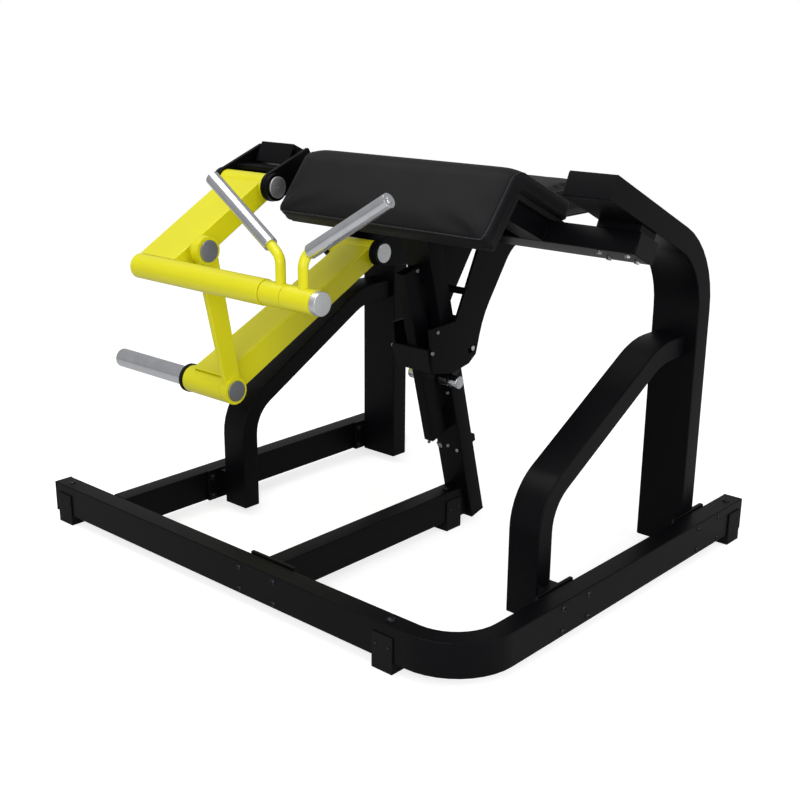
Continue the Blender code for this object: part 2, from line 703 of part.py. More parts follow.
def build_crossbar():
    """Tube across the machine under both post arms, with the spacers, pad brackets and column plate on it."""
    half = POST_CENTRE_X + POST_WIDTH / 2.0
    rear = CROSSBAR_FRONT + CROSSBAR_DEPTH
    top, low = CROSSBAR_SPACER + GAP, CROSSBAR_SPACER + GAP + CROSSBAR_HEIGHT
    bar = plate("crossbar", arm_patch(CROSSBAR_FRONT, rear, top, low), -half, half, PAINT_BLACK)
    hollow = arm_patch(CROSSBAR_FRONT + TUBE_WALL, rear - TUBE_WALL, top + TUBE_WALL, low - TUBE_WALL)
    cut(soften(bar, TUBE_EDGE), plate("crossbar_hollow", hollow, -half - CUT_PAST, half + CUT_PAST))
    spacer = arm_patch(CROSSBAR_FRONT + SPACER_INSET, rear - SPACER_INSET, GAP, top + TUBE_WALL / 2.0)
    bracket, width = pad_bracket_outline(), BRACKET_WIDTH / 2.0
    for side, sign in SIDES:
        near, far = sorted((sign * (half - SPACER_INSET), sign * (half - POST_WIDTH + SPACER_INSET)))
        join(bar, plate(f"{side}_crossbar_spacer", spacer, near, far))
        join(bar, plate(f"{side}_pad_bracket", bracket, sign * BRACKET_X - width, sign * BRACKET_X + width))
    width = HEAD_BRACKET_WIDTH / 2.0
    join(bar, plate("column_head_bracket", head_bracket_outline(), -width, width))


def pad_bracket_outline():
    """Side view of an arm from the crossbar's front wall to the inner corner of the pad board."""
    foot, top = pad_corners(PAD_CUSHION + PAD_BOARD + 2.0 * GAP, 0.0)[:2]
    slope = (foot - top).normalized()
    drop = Vector((-math.sin(POST_ANGLE), -math.cos(POST_ANGLE)))
    high = top + slope * (BRACKET_INSET / slope.dot(drop))
    low = top + slope * ((CROSSBAR_HEIGHT - BRACKET_INSET) / slope.dot(drop))
    inside = CROSSBAR_FRONT + TUBE_WALL / 2.0
    return [tuple(high), on_post_arm(inside, CROSSBAR_SPACER + GAP + BRACKET_INSET),
            on_post_arm(inside, CROSSBAR_SPACER + GAP + CROSSBAR_HEIGHT - BRACKET_INSET), tuple(low)]


def head_bracket_outline():
    """Side view of the plate that carries the column's head on the crossbar's front wall."""
    high = COLUMN_LENGTH - HEAD_BRACKET_TOP
    inside = CROSSBAR_FRONT + TUBE_WALL / 2.0
    return [on_column(COLUMN_DEPTH + GAP, high), on_column(COLUMN_DEPTH + GAP, high - HEAD_BRACKET_LENGTH),
            on_post_arm(inside, CROSSBAR_SPACER + CROSSBAR_HEIGHT - HEAD_BRACKET_TOP / 2.0),
            on_post_arm(inside, CROSSBAR_SPACER + HEAD_BRACKET_TOP)]


def pad_corners(depth, inset):
    """Front end, ridge and rear end of a line that lies at a depth below the faces of the arm pad."""
    front = Vector((-math.cos(PAD_FRONT_ANGLE), -math.sin(PAD_FRONT_ANGLE)))
    rear = Vector((math.cos(POST_ANGLE), -math.sin(POST_ANGLE)))
    into_front = Vector((-front.y, front.x))
    into_rear = Vector((rear.y, -rear.x))
    face = Vector(on_post_arm(0.0, CROSSBAR_SPACER - PAD_CUSHION - PAD_BOARD - GAP))
    ridge_y = from_front(PAD_RIDGE_FROM_FRONT)
    ridge = Vector((ridge_y, face.y - (ridge_y - face.x) * math.tan(POST_ANGLE)))
    corner = ridge + (into_front + into_rear) * (depth / (1.0 + into_front.dot(into_rear)))
    return [ridge + into_front * depth + front * (PAD_FRONT_LENGTH - inset), corner,
            ridge + into_rear * depth + rear * (PAD_REAR_LENGTH - inset)]


def build_arm_pad():
    """One cushion over a ridge, on a board that rests on the crossbar and the brackets."""
    middle = PAD_CUSHION / 2.0
    path = rounded_path(pad_corners(middle, 0.0), [middle + GAP])
    cushion = plate("arm_pad", band(path, middle), -PAD_HALF_WIDTH, PAD_HALF_WIDTH, LEATHERETTE)
    soften(cushion, PAD_EDGE, PAD_EDGE_STEPS)
    board = pad_corners(PAD_CUSHION + GAP + PAD_BOARD / 2.0, BOARD_INSET)
    half = PAD_HALF_WIDTH - BOARD_INSET
    plate("arm_pad_board", band(board, PAD_BOARD / 2.0), -half, half, PLYWOOD)


def build_column():
    """Leaning seat column, open at the head and closed by a plug at the foot."""
    half = COLUMN_WIDTH / 2.0
    outline = along_column(0.0, COLUMN_DEPTH, PLUG_FLANGE + GAP, COLUMN_LENGTH)
    column = plate("seat_column", outline, -half, half, PAINT_BLACK)
    hollow = along_column(TUBE_WALL, COLUMN_DEPTH - TUBE_WALL, 0.0, COLUMN_LENGTH + PLUG_DEPTH)
    cut(soften(column, TUBE_EDGE), plate("seat_column_hollow", hollow, -half + TUBE_WALL, half - TUBE_WALL))


def build_guide_rail():
    """Tube ahead of the column that guides the seat carriage, with a bracket welded on near each end."""
    half = GUIDE_WIDTH / 2.0
    front, rear = -GUIDE_SETBACK, GUIDE_DEPTH - GUIDE_SETBACK
    rail = plate("guide_rail", along_column(front, rear, GUIDE_START, GUIDE_END), -half, half, PAINT_BLACK)
    hollow = along_column(front + TUBE_WALL, rear - TUBE_WALL, GUIDE_START - CUT_PAST, GUIDE_END + CUT_PAST)
    cut(soften(rail, TUBE_EDGE), plate("guide_rail_hollow", hollow, TUBE_WALL - half, half - TUBE_WALL))
    half -= TUBE_WALL / 2.0
    for name, low in (("lower", GUIDE_START + GUIDE_BRACKET_INSET),
                      ("upper", GUIDE_END - GUIDE_BRACKET_INSET - GUIDE_BRACKET)):
        bracket = along_column(rear - TUBE_WALL / 2.0, -GAP, low, low + GUIDE_BRACKET)
        join(rail, plate(f"guide_rail_{name}_bracket", bracket, -half, half))


def rack_outline():
    """A strip with sawtooth notches and a square stop at its foot."""
    base = COLUMN_DEPTH + GAP
    crest = base + RACK_BASE + RACK_TOOTH
    stop = base + RACK_STOP_DEPTH
    foot = RACK_START - RACK_PITCH
    outline = [on_column(base, foot - RACK_STOP_HEIGHT), on_column(stop, foot - RACK_STOP_HEIGHT),
               on_column(stop, foot), on_column(crest, foot)]
    for tooth in range(RACK_TEETH):
        foot = RACK_START + tooth * RACK_PITCH
        outline.append(on_column(crest, foot))
        outline.append(on_column(base + RACK_BASE, foot + RACK_PITCH * NOTCH_START))
        outline.append(on_column(base + RACK_BASE, foot + RACK_PITCH * NOTCH_END))
    outline.append(on_column(crest, RACK_START + RACK_TEETH * RACK_PITCH))
    outline.append(on_column(base, RACK_START + RACK_TEETH * RACK_PITCH))
    return outline


def build_rack():
    plate("seat_rack", rack_outline(), -RACK_WIDTH / 2.0, RACK_WIDTH / 2.0, PAINT_BLACK)


def pawl_place():
    """Behind and along values of the pawl pin where it lies in a rack notch."""
    behind = COLUMN_DEPTH + GAP + RACK_BASE + PAWL_RADIUS + FACE_GAP
    return behind, RACK_START + (PAWL_TOOTH + NOTCH_SEAT) * RACK_PITCH


def drawn_pawl():
    """Y and Z of the pawl pin drawn clear of the rack."""
    behind, along = pawl_place()
    return Vector(on_column(behind + RELEASE_TRAVEL, along))


def seat_arm_outline():
    """Side view of a plate on the column that widens into an arm and narrows again under the seat."""
    body = [Vector((from_column(distance), height)) for distance, height in SEAT_ARM_BODY]
    heel = Vector((from_column(SEAT_ARM_HEEL[0]), SEAT_ARM_HEEL[1]))
    knee = Vector((from_column(SEAT_ARM_KNEE[0]), SEAT_ARM_KNEE[1]))
    end, high = from_column(SEAT_END_FROM_COLUMN - 2.0 * SEAT_PLATE_INSET), SEAT_UNDERSIDE - GAP
    low = high - SEAT_ARM_WIDTH
    rear = Vector((knee.x + (low - knee.y) * math.tan(SEAT_ARM_REAR_ANGLE), low))
    front = Vector((body[0].x + (high - body[0].y) * math.tan(SEAT_ARM_FRONT_ANGLE), high))
    back = rounded_path([heel, knee, rear, Vector((end, low))], [SEAT_ARM_KNEE_BEND, SEAT_ARM_REAR_BEND])
    face = rounded_path([Vector((end, high)), front, body[0]], [SEAT_ARM_FRONT_BEND])
    return [tuple(point) for point in back + face + body[1:]]


def build_seat_arms():
    """Side plates on the column that run out as curved arms under the seat."""
    outline = seat_arm_outline()
    behind, along = pawl_place()
    travel = [Vector(on_column(behind, along)), Vector(on_column(behind + RELEASE_TRAVEL, along))]
    room = PAWL_RADIUS + FACE_GAP
    slot = band(travel, room, room, room)
    arms = []
    for side, sign in SIDES:
        low, high = sorted((sign * SEAT_ARM_X, sign * (SEAT_ARM_X + SEAT_ARM_PLATE)))
        arm = plate(f"{side}_seat_arm", outline, low, high, PAINT_BLACK)
        arms.append(cut(arm, plate(f"{side}_pawl_slot", slot, low - SEAT_ARM_PLATE, high + SEAT_ARM_PLATE)))
    inner = SEAT_ARM_X - GAP
    tie = (from_column(SEAT_SPACER_FROM_COLUMN), SEAT_SPACER_HEIGHT)
    ends = (-inner, *tie), (inner, *tie)
    arms.append(rod("seat_arm_spacer", *ends, SEAT_SPACER_RADIUS, PAINT_BLACK, SMALL_SIDES))
    return arms


def build_glides():
    """Blocks between the seat arms that run on the guide rail and on the column's back beside the rack."""
    inner = SEAT_ARM_X - GAP
    front = -GUIDE_SETBACK - FACE_GAP
    end = FRONT_GLIDE_START + FRONT_GLIDE_LENGTH
    outline = along_column(front - GLIDE_THICKNESS, front, FRONT_GLIDE_START, end)
    glides = [plate("front_glide", outline, -inner, inner, PLASTIC)]
    back = COLUMN_DEPTH + FACE_GAP
    end = REAR_GLIDE_START + REAR_GLIDE_LENGTH
    outline = along_column(back, back + GLIDE_THICKNESS, REAR_GLIDE_START, end)
    for side, sign in SIDES:
        low, high = sorted((sign * (RACK_WIDTH / 2.0 + FACE_GAP), sign * inner))
        glides.append(plate(f"{side}_rear_glide", outline, low, high, PLASTIC))
    return glides


def build_seat_top():
    start, end = from_column(SEAT_START_FROM_COLUMN), from_column(SEAT_END_FROM_COLUMN)
    top = SEAT_UNDERSIDE + SEAT_PLATE
    half = SEAT_HALF_WIDTH - SEAT_PLATE_INSET
    low, high = (-half, start + SEAT_PLATE_INSET, SEAT_UNDERSIDE), (half, end - SEAT_PLATE_INSET, top)
    tray = box("seat_plate", low, high, PAINT_BLACK)
    low, high = (-SEAT_HALF_WIDTH, start, top + GAP), (SEAT_HALF_WIDTH, end, top + SEAT_CUSHION)
    cushion = box("seat_cushion", low, high, LEATHERETTE)
    return [soften(tray, PLATE_EDGE), soften(cushion, PAD_EDGE, PAD_EDGE_STEPS)]


def build_release():
    """Frame of two links, two knobs and the pawl pin, drawn back so that the pin clears the rack."""
    pin = drawn_pawl()
    shift = pin - Vector(on_column(*pawl_place()))
    knob = Vector((from_column(KNOB_FROM_COLUMN), KNOB_HEIGHT)) + shift
    reach = SEAT_ARM_X + SEAT_ARM_PLATE
    ends = (-reach, *pin), (reach, *pin)
    pieces = [rod("pawl_pin", *ends, PAWL_RADIUS, BRIGHT, PIN_SIDES)]
    hole = rod("release_pin_hole", *ends, PAWL_RADIUS + GAP, sides=PIN_SIDES)
    face = RELEASE_LINK_X + RELEASE_LINK
    outline = band([pin, knob], RELEASE_LINK_HALF, RELEASE_LINK_HALF, RELEASE_LINK_HALF)
    for side, sign in SIDES:
        low, high = sorted((sign * RELEASE_LINK_X, sign * face))
        pieces.append(cut(plate(f"{side}_release_link", outline, low, high, ZINC), hole))
        ends = (sign * (face + GAP), *knob), (sign * (face + KNOB_LENGTH), *knob)
        pieces.append(soften(rod(f"{side}_release_knob", *ends, KNOB_RADIUS, BRIGHT), PLATE_EDGE))
    return pieces


def build_carriage():
    pin = drawn_pawl()
    for piece in build_seat_arms() + build_glides() + build_seat_top() + build_release():
        put_origin(piece, (0.0, *pin))


def at_x(x, pivot):
    return Vector((x, pivot.y, pivot.z))


def barrel(name, pivot, x_low, x_high, radius, look=None):
    """A round bar along X whose axis runs through a pivot."""
    return rod(name, at_x(x_low, pivot), at_x(x_high, pivot), radius, look)


def build_cheek(name, pivot, middle, boss_face, post_face, high, low, patch):
    """Lug round a pivot with a boss on its outer side and a spacer against the side of the left post."""
    outline = lug_outline(pivot, CHEEK_RADIUS, high, low)
    cheek = plate(name, outline, middle - CHEEK / 2.0, middle + CHEEK / 2.0, PAINT_BLACK)
    join(soften(cheek, PLATE_EDGE),
         barrel(name + "_boss", pivot, *sorted((middle, boss_face)), BOSS_RADIUS),
         plate(name + "_spacer", patch, *sorted((middle, post_face))))
    reach = abs(boss_face - middle) + CHEEK
    return cut(cheek, barrel(name + "_bore", pivot, middle - reach, middle + reach, SHAFT_RADIUS + GAP))


def build_fork(name, pivot, high, low, patch):
    shape = high, low, patch
    post_left = -POST_CENTRE_X - POST_WIDTH / 2.0 - GAP
    post_right = -POST_CENTRE_X + POST_WIDTH / 2.0 + GAP
    build_cheek(f"{name}_outer_cheek", pivot, OUTER_CHEEK_X, OUTER_BOSS_X, post_left, *shape)
    return build_cheek(f"{name}_inner_cheek", pivot, INNER_CHEEK_X, BOSS_FACE_X, post_right, *shape)


def build_forks():
    """The upper fork stands out of the left post's head, the lower one out of its front face."""
    slope = Vector((math.cos(TOP_LINE_ANGLE), math.sin(TOP_LINE_ANGLE)))
    upper = Vector((UPPER_PIVOT.y, UPPER_PIVOT.z))
    high = upper + Vector((-slope.y, slope.x)) * CHEEK_RADIUS + slope * UPPER_CHEEK_REACH
    low = Vector(on_post_arm(UPPER_CHEEK_FOOT, -SPACER_INSET))
    clear = 2.0 * SPACER_INSET
    patch = arm_patch(clear, UPPER_CHEEK_FOOT - clear, clear - POST_DEPTH, -clear)
    inner = build_fork("upper_fork", UPPER_PIVOT, high, low, patch)
    y, z = UPPER_PIVOT.y + WEB_BACK, UPPER_PIVOT.z + WEB_RISE
    join(inner, box("upper_fork_web", (OUTER_CHEEK_X + CHEEK / 2.0 + GAP, y, z),
                    (INNER_CHEEK_X, y + WEB_LENGTH, z + WEB_THICKNESS)))
    front = from_front(POST_FROM_FRONT) - POST_DEPTH / 2.0
    rear = front + LOWER_CHEEK_REACH
    foot = LOWER_PIVOT.z - CHEEK_RADIUS - LOWER_CHEEK_DROP
    patch = [(front + SPACER_INSET, foot + SPACER_INSET), (rear - SPACER_INSET, foot + SPACER_INSET),
             (rear - SPACER_INSET, LOWER_PIVOT.z), (front + SPACER_INSET, LOWER_PIVOT.z)]
    high, low = Vector((rear, LOWER_PIVOT.z + CHEEK_RADIUS)), Vector((rear, foot))
    build_fork("lower_fork", LOWER_PIVOT, high, low, patch)


def build_pivot(name, pivot):
    """Headed shaft through a fork, with a cap on its inner end."""
    shaft = barrel(f"{name}_pivot_shaft", pivot, OUTER_CAP_X + CAP_EDGE, BOSS_FACE_X, SHAFT_RADIUS, ZINC)
    join(shaft, barrel(f"{name}_pivot_head", pivot, OUTER_CAP_X, OUTER_BOSS_X - GAP, PIVOT_CAP_RADIUS))
    cap = barrel(f"{name}_pivot_cap", pivot, BOSS_FACE_X + GAP, CAP_FACE_X, PIVOT_CAP_RADIUS, BRUSHED)
    soften(cap, CAP_EDGE)


def add_hub(arm, name, pivot):
    """Welds a hub tube to an arm between the cheeks of its fork and presses a bush into it."""
    low = OUTER_CHEEK_X + CHEEK / 2.0 + FACE_GAP
    high = INNER_CHEEK_X - CHEEK / 2.0 - FACE_GAP
    outer = SHAFT_RADIUS + RUN + BUSH_WALL
    join(arm, barrel(name + "_hub", pivot, low, high, HUB_RADIUS))
    cut(arm, barrel(name + "_hub_bore", pivot, low - CUT_PAST, high + CUT_PAST, outer + GAP))
    bush = barrel(name + "_bush", pivot, low, high, outer, ZINC)
    cut(bush, barrel(name + "_bush_bore", pivot, low - CUT_PAST, high + CUT_PAST, SHAFT_RADIUS + RUN))
    put_origin(arm, pivot)
    put_origin(bush, pivot)


def beam_outline(start, end, above_start, above_end, below):
    """Side view of a beam between two pivots, by its reach above and below the line between them."""
    first, last = Vector((start.y, start.z)), Vector((end.y, end.z))
    along = (last - first).normalized()
    up = Vector((along.y, -along.x))
    return [tuple(first + up * above_start), tuple(last + up * above_end), tuple(last - up * below),
            tuple(first - up * below)]


def cope(target, name, pivot, x_low, x_high, radius):
    """Rounds the end of a beam to fit against a tube that crosses it."""
    return cut(target, barrel(name, pivot, x_low - CUT_PAST, x_high + CUT_PAST, radius + 2.0 * GAP))


def build_upper_arm():
    """Box beam from the upper pivot to the handle tube, with a boss for the link on its inner side."""
    outer = beam_outline(UPPER_PIVOT, HANDLE_AXIS, ARM_ABOVE, ARM_ABOVE, ARM_BELOW)
    above = ARM_ABOVE - ARM_WALL
    inner = beam_outline(UPPER_PIVOT, HANDLE_AXIS, above, above, ARM_BELOW - ARM_WALL)
    arm = soften(plate("upper_arm", outer, ARM_OUTER_X, ARM_INNER_X, PAINT_YELLOW), TUBE_EDGE)
    cut(arm, plate("upper_arm_hollow", inner, ARM_OUTER_X + ARM_WALL, ARM_INNER_X - ARM_WALL))
    root = ARM_INNER_X - ARM_WALL / 2.0
    join(arm, barrel("link_boss", LINK_TOP, root, LINK_BACK_X - FACE_GAP, LINK_BOSS_RADIUS))
    cope(arm, "upper_arm_cope", HANDLE_AXIS, ARM_OUTER_X, ARM_INNER_X, HANDLE_TUBE_RADIUS)
    add_hub(arm, "upper_arm", UPPER_PIVOT)


def build_handle_tube():
    """Cross tube of the lift arm, closed at the left, with the axle and the end cap for the handles."""
    inner = HANDLE_TUBE_RADIUS - HANDLE_TUBE_WALL
    left, right = HANDLE_TUBE_LEFT, HANDLE_TUBE_RIGHT
    tube = barrel("handle_tube", HANDLE_AXIS, left, right, HANDLE_TUBE_RADIUS, PAINT_YELLOW)
    cut(tube, barrel("handle_tube_bore", HANDLE_AXIS, left + HANDLE_TUBE_WALL, right + CUT_PAST, inner))
    root, tip = right - AXLE_ROOT, HUB_END_X + FACE_GAP
    axle = barrel("handle_axle", HANDLE_AXIS, root, right, inner - GAP, ZINC)
    join(axle, barrel("handle_axle_pin", HANDLE_AXIS, root + AXLE_ROOT / 2.0, tip, AXLE_RADIUS))
    end = barrel("handle_end_cap", HANDLE_AXIS, tip + GAP, END_CAP_X, END_CAP_RADIUS, BRUSHED)
    for piece in (tube, axle, soften(end, CAP_EDGE)):
        put_origin(piece, UPPER_PIVOT)


def grip_points(side):
    """Where one handle's stem leaves the axle, and where its grip starts and ends."""
    foot = at_x(STEM_X[side], HANDLE_AXIS)
    start = at_x(GRIP_START_X[side], HANDLE_AXIS) + Vector((0.0, GRIP_START_BACK, GRIP_START_RISE))
    end = at_x(GRIP_END_X[side], HANDLE_AXIS) + Vector((0.0, GRIP_END_BACK, GRIP_END_RISE))
    return foot, start, end


def stem_mesh(name, side):
    """Round bar that rises from the hub and turns smoothly into the grip's direction."""
    foot, start, end = grip_points(side)
    way = (end - start).normalized()
    up = Vector((0.0, 0.0, 1.0))
    knee = foot + up * STEM_RISE
    reach = (start - knee).length / 3.0
    stations = ((foot + up * STEM_ROOT, up), (knee, up), (start, way), (end - way * GRIP_CORE_STOP, way))
    curve = bpy.data.curves.new(name, "CURVE")
    curve.dimensions = "3D"
    curve.bevel_depth = STEM_RADIUS
    curve.bevel_resolution = STEM_RING
    curve.use_fill_caps = True
    curve.resolution_u = STEM_STEPS
    spline = curve.splines.new("BEZIER")
    spline.bezier_points.add(len(stations) - 1)
    for point, (place, along) in zip(spline.bezier_points, stations):
        point.co = place
        point.handle_left = place - along * reach
        point.handle_right = place + along * reach
    return mesh_from_curve(name, curve, flat=False)


def build_handle(side):
    """Hub that turns on the axle, its bent stem, and a bright grip over the stem's end."""
    low, high = HANDLE_TUBE_RIGHT + FACE_GAP, HUB_SPLIT_X
    if side == "right":
        low, high = HUB_SPLIT_X + FACE_GAP, HUB_END_X
    pivot = at_x((low + high) / 2.0, HANDLE_AXIS)
    body = barrel(f"{side}_handle", HANDLE_AXIS, low, high, HANDLE_HUB_RADIUS, PAINT_YELLOW)
    join(soften(body, CAP_EDGE), add_object(f"{side}_handle_stem", stem_mesh(f"{side}_handle_stem", side)))
    cut(body, barrel(f"{side}_handle_bore", HANDLE_AXIS, low - CUT_PAST, high + CUT_PAST, AXLE_RADIUS + RUN))
    start, end = grip_points(side)[1:]
    way = (end - start).normalized()
    grip = soften(rod(f"{side}_grip", start, end, GRIP_RADIUS, BRIGHT), CAP_EDGE)
    join(grip, rod(f"{side}_grip_screw", end - way * GRIP_CORE_STOP / 2.0, end + way * GRIP_SCREW,
                   GRIP_SCREW_RADIUS, sides=SMALL_SIDES))
    cut(grip, rod(f"{side}_grip_bore", start - way * CUT_PAST, end - way * (GRIP_CORE_STOP - GAP),
                  STEM_RADIUS + 2.0 * GAP))
    for piece in (body, grip):
        put_origin(piece, pivot)


def build_link():
    """Flat bar with a round eye at each end and a cap on each eye."""
    top, low = Vector((LINK_TOP.y, LINK_TOP.z)), Vector((LINK_BOTTOM.y, LINK_BOTTOM.z))
    along = (top - low).normalized()
    side = Vector((-along.y, along.x))
    outline = [tuple(low + side * LINK_BOTTOM_HALF), tuple(low - side * LINK_BOTTOM_HALF),
               tuple(top - side * LINK_TOP_HALF), tuple(top + side * LINK_TOP_HALF)]
    middle = (LINK_BACK_X + LINK_FACE_X) / 2.0
    link = soften(plate("link_bar", outline, middle - LINK_BAR / 2.0, middle + LINK_BAR / 2.0, PAINT_YELLOW),
                  TUBE_EDGE)
    for name, point in (("upper", LINK_TOP), ("lower", LINK_BOTTOM)):
        join(link, barrel(f"{name}_link_eye", point, LINK_BACK_X, LINK_FACE_X, LINK_EYE_RADIUS))
        cap = barrel(f"{name}_link_cap", point, LINK_FACE_X + GAP, CAP_FACE_X, PIVOT_CAP_RADIUS, BRUSHED)
        put_origin(soften(cap, CAP_EDGE), LINK_BOTTOM)
    back, face = LINK_BACK_X - CUT_PAST, LINK_FACE_X + CUT_PAST
    cut(link, barrel("link_bore", LINK_BOTTOM, back, face, LINK_PIN_RADIUS + RUN))
    put_origin(link, LINK_BOTTOM)


def build_weight_horn():
    """Cross hub at the front of the weight arm, with the link's pin, a collar and a tube for the plates."""
    outer, inner = WEIGHT_HUB_OUTER_X, LINK_BACK_X - FACE_GAP
    seat = outer + HORN_SOCKET
    hub = barrel("weight_hub", LINK_BOTTOM, outer, inner, WEIGHT_HUB_RADIUS, PAINT_YELLOW)
    join(soften(hub, CAP_EDGE),
         barrel("link_pin", LINK_BOTTOM, LINK_BACK_X - HORN_SOCKET / 2.0, LINK_FACE_X, LINK_PIN_RADIUS))
    cut(hub, barrel("horn_socket", LINK_BOTTOM, outer - CUT_PAST, seat, HORN_RADIUS + GAP))
    collar = barrel("horn_collar", LINK_BOTTOM, COLLAR_OUTER_X, outer - GAP, COLLAR_RADIUS, SOFT_RUBBER)
    cope(soften(collar, PLATE_EDGE), "collar_bore", LINK_BOTTOM, COLLAR_OUTER_X, outer, HORN_RADIUS)
    horn = soften(barrel("weight_horn", LINK_BOTTOM, HORN_END_X, seat - GAP, HORN_RADIUS, BRIGHT), PLATE_EDGE)
    bore = HORN_RADIUS - HORN_WALL
    cut(horn, barrel("horn_bore", LINK_BOTTOM, HORN_END_X + HORN_WALL, seat + CUT_PAST, bore))
    for piece in (hub, collar, horn):
        put_origin(piece, LOWER_PIVOT)


def build_weight_arm():
    """Box beam from the lower pivot to the hub that carries the plates."""
    reach = WEIGHT_ABOVE_REAR, WEIGHT_ABOVE_FRONT, WEIGHT_BELOW
    outer = beam_outline(LOWER_PIVOT, LINK_BOTTOM, *reach)
    inner = beam_outline(LOWER_PIVOT, LINK_BOTTOM, *(size - ARM_WALL for size in reach))
    arm = soften(plate("weight_arm", outer, WEIGHT_OUTER_X, WEIGHT_INNER_X, PAINT_YELLOW), TUBE_EDGE)
    cut(arm, plate("weight_arm_hollow", inner, WEIGHT_OUTER_X + ARM_WALL, WEIGHT_INNER_X - ARM_WALL))
    cope(arm, "weight_arm_cope", LINK_BOTTOM, WEIGHT_OUTER_X, WEIGHT_INNER_X, WEIGHT_HUB_RADIUS)
    add_hub(arm, "weight_arm", LOWER_PIVOT)


def build_base():
    outer = BEAM_WIDTH / 2.0
    build_base_rail()
    build_left_beam()
    build_middle_beam()
    build_beam_plug("rail_front_plug", RAIL_LEFT_END, FRONT_Y + outer, "x", 1.0)
    build_beam_plug("rail_rear_plug", BASE_HALF_WIDTH - outer, REAR_Y, "y", -1.0)
    build_beam_plug("left_beam_plug", outer - BASE_HALF_WIDTH, REAR_Y, "y", -1.0)
    build_shoes()


def build_frame():
    for side, sign in SIDES:
        build_post(side, sign)
        build_brace(side, sign)
    build_crossbar()
    build_arm_pad()


def build_seat():
    build_column()
    build_column_plug()
    build_guide_rail()
    build_rack()
    build_carriage()


def build_levers():
    build_forks()
    build_pivot("upper", UPPER_PIVOT)
    build_pivot("lower", LOWER_PIVOT)
    build_upper_arm()
    build_handle_tube()
    build_handle("left")
    build_handle("right")
    build_link()
    build_weight_arm()
    build_weight_horn()


clear_scene()
build_base()
build_frame()
build_seat()
build_levers()
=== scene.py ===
import json
import math

import bmesh
import bpy
from mathutils import Euler, Matrix, Vector
from mathutils.bvhtree import BVHTree

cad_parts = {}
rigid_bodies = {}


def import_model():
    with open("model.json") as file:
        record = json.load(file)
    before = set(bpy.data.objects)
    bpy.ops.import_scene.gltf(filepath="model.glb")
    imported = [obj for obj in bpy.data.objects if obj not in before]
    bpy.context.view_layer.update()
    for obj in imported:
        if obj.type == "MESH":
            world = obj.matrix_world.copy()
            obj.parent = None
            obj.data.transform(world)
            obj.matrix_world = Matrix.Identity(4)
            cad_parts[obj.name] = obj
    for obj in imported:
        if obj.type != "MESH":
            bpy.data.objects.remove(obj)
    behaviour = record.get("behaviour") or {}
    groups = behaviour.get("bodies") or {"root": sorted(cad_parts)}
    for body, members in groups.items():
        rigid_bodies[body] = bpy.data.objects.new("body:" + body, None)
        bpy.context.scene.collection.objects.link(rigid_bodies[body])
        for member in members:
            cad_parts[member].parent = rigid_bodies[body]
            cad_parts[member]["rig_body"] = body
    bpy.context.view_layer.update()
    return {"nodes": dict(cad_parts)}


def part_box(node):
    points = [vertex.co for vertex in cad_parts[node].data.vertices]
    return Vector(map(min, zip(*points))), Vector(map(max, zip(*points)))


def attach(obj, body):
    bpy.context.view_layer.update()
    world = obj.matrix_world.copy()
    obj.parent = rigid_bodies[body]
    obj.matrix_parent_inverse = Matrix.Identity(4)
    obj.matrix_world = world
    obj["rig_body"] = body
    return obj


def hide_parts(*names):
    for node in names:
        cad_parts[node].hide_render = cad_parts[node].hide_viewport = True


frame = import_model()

scene = bpy.context.scene


# The view. The machine stands on a plain white floor and is seen from its front right corner,
# a little above its own height. Broad soft light comes from the viewer's side, so that upright
# faces read and tops stay dark. A gloss sees a dimmer room than the eye does.
CAMERA_PLACE = (1.851, -2.278, 1.253)
CAMERA_TURN = math.radians(43.018)
CAMERA_DIP = math.radians(17.956)
CAMERA_LENS = 54.68
CAMERA_SHIFT = (0.0396, 0.0185)
FLOOR_HALF = 30.0
ROOM_LIGHT = 0.50
FLOOR_LIFT = 0.70
GLOSS_SHARE = 0.42
LAMPS = (
    ("front_lamp", (1.6, -3.6, 1.9), (0.0, -0.3, 0.45), 2.4, 62.0),
    ("side_lamp", (3.4, -0.2, 1.5), (0.2, -0.1, 0.45), 1.8, 36.0),
    ("top_lamp", (-1.0, -0.8, 3.4), (-0.1, -0.1, 0.5), 2.2, 42.0),
)


def colour(code):
    """An sRGB hex value as a linear colour."""
    parts = [int(code[start:start + 2], 16) / 255 for start in (0, 2, 4)]
    return tuple(p / 12.92 if p <= 0.04045 else ((p + 0.055) / 1.055) ** 2.4 for p in parts) + (1.0,)


def add(tree, kind, sockets=None, **settings):
    """Adds a node, applies its settings, and fills or links its sockets."""
    made = tree.nodes.new(kind)
    for name, value in settings.items():
        setattr(made, name, value)
    for socket, value in (sockets or {}).items():
        if isinstance(value, bpy.types.NodeSocket):
            tree.links.new(value, made.inputs[socket])
        else:
            made.inputs[socket].default_value = value
    return made


def new_look(name, constants):
    """A new material whose shader has these constants, and the object's coordinates in it."""
    look = bpy.data.materials.new(name)
    look.use_nodes = True
    shader = look.node_tree.nodes["Principled BSDF"]
    for socket, value in constants.items():
        shader.inputs[socket].default_value = value
    return look, add(look.node_tree, "ShaderNodeTexCoord").outputs["Object"]


def finished(look, tint, rough, relief):
    """Gives a material's shader its colour, roughness and normal."""
    tree = look.node_tree
    shader = tree.nodes["Principled BSDF"]
    for socket, source in (("Base Color", tint), ("Roughness", rough), ("Normal", relief)):
        tree.links.new(source, shader.inputs[socket])
    return look


def seen_rays(tree):
    """One where the eye or a clear piece looks at the backdrop, and nought for other light."""
    rays = add(tree, "ShaderNodeLightPath")
    looks = {0: rays.outputs["Is Camera Ray"], 1: rays.outputs["Is Transmission Ray"]}
    return add(tree, "ShaderNodeMath", looks, operation="MAXIMUM").outputs[0]


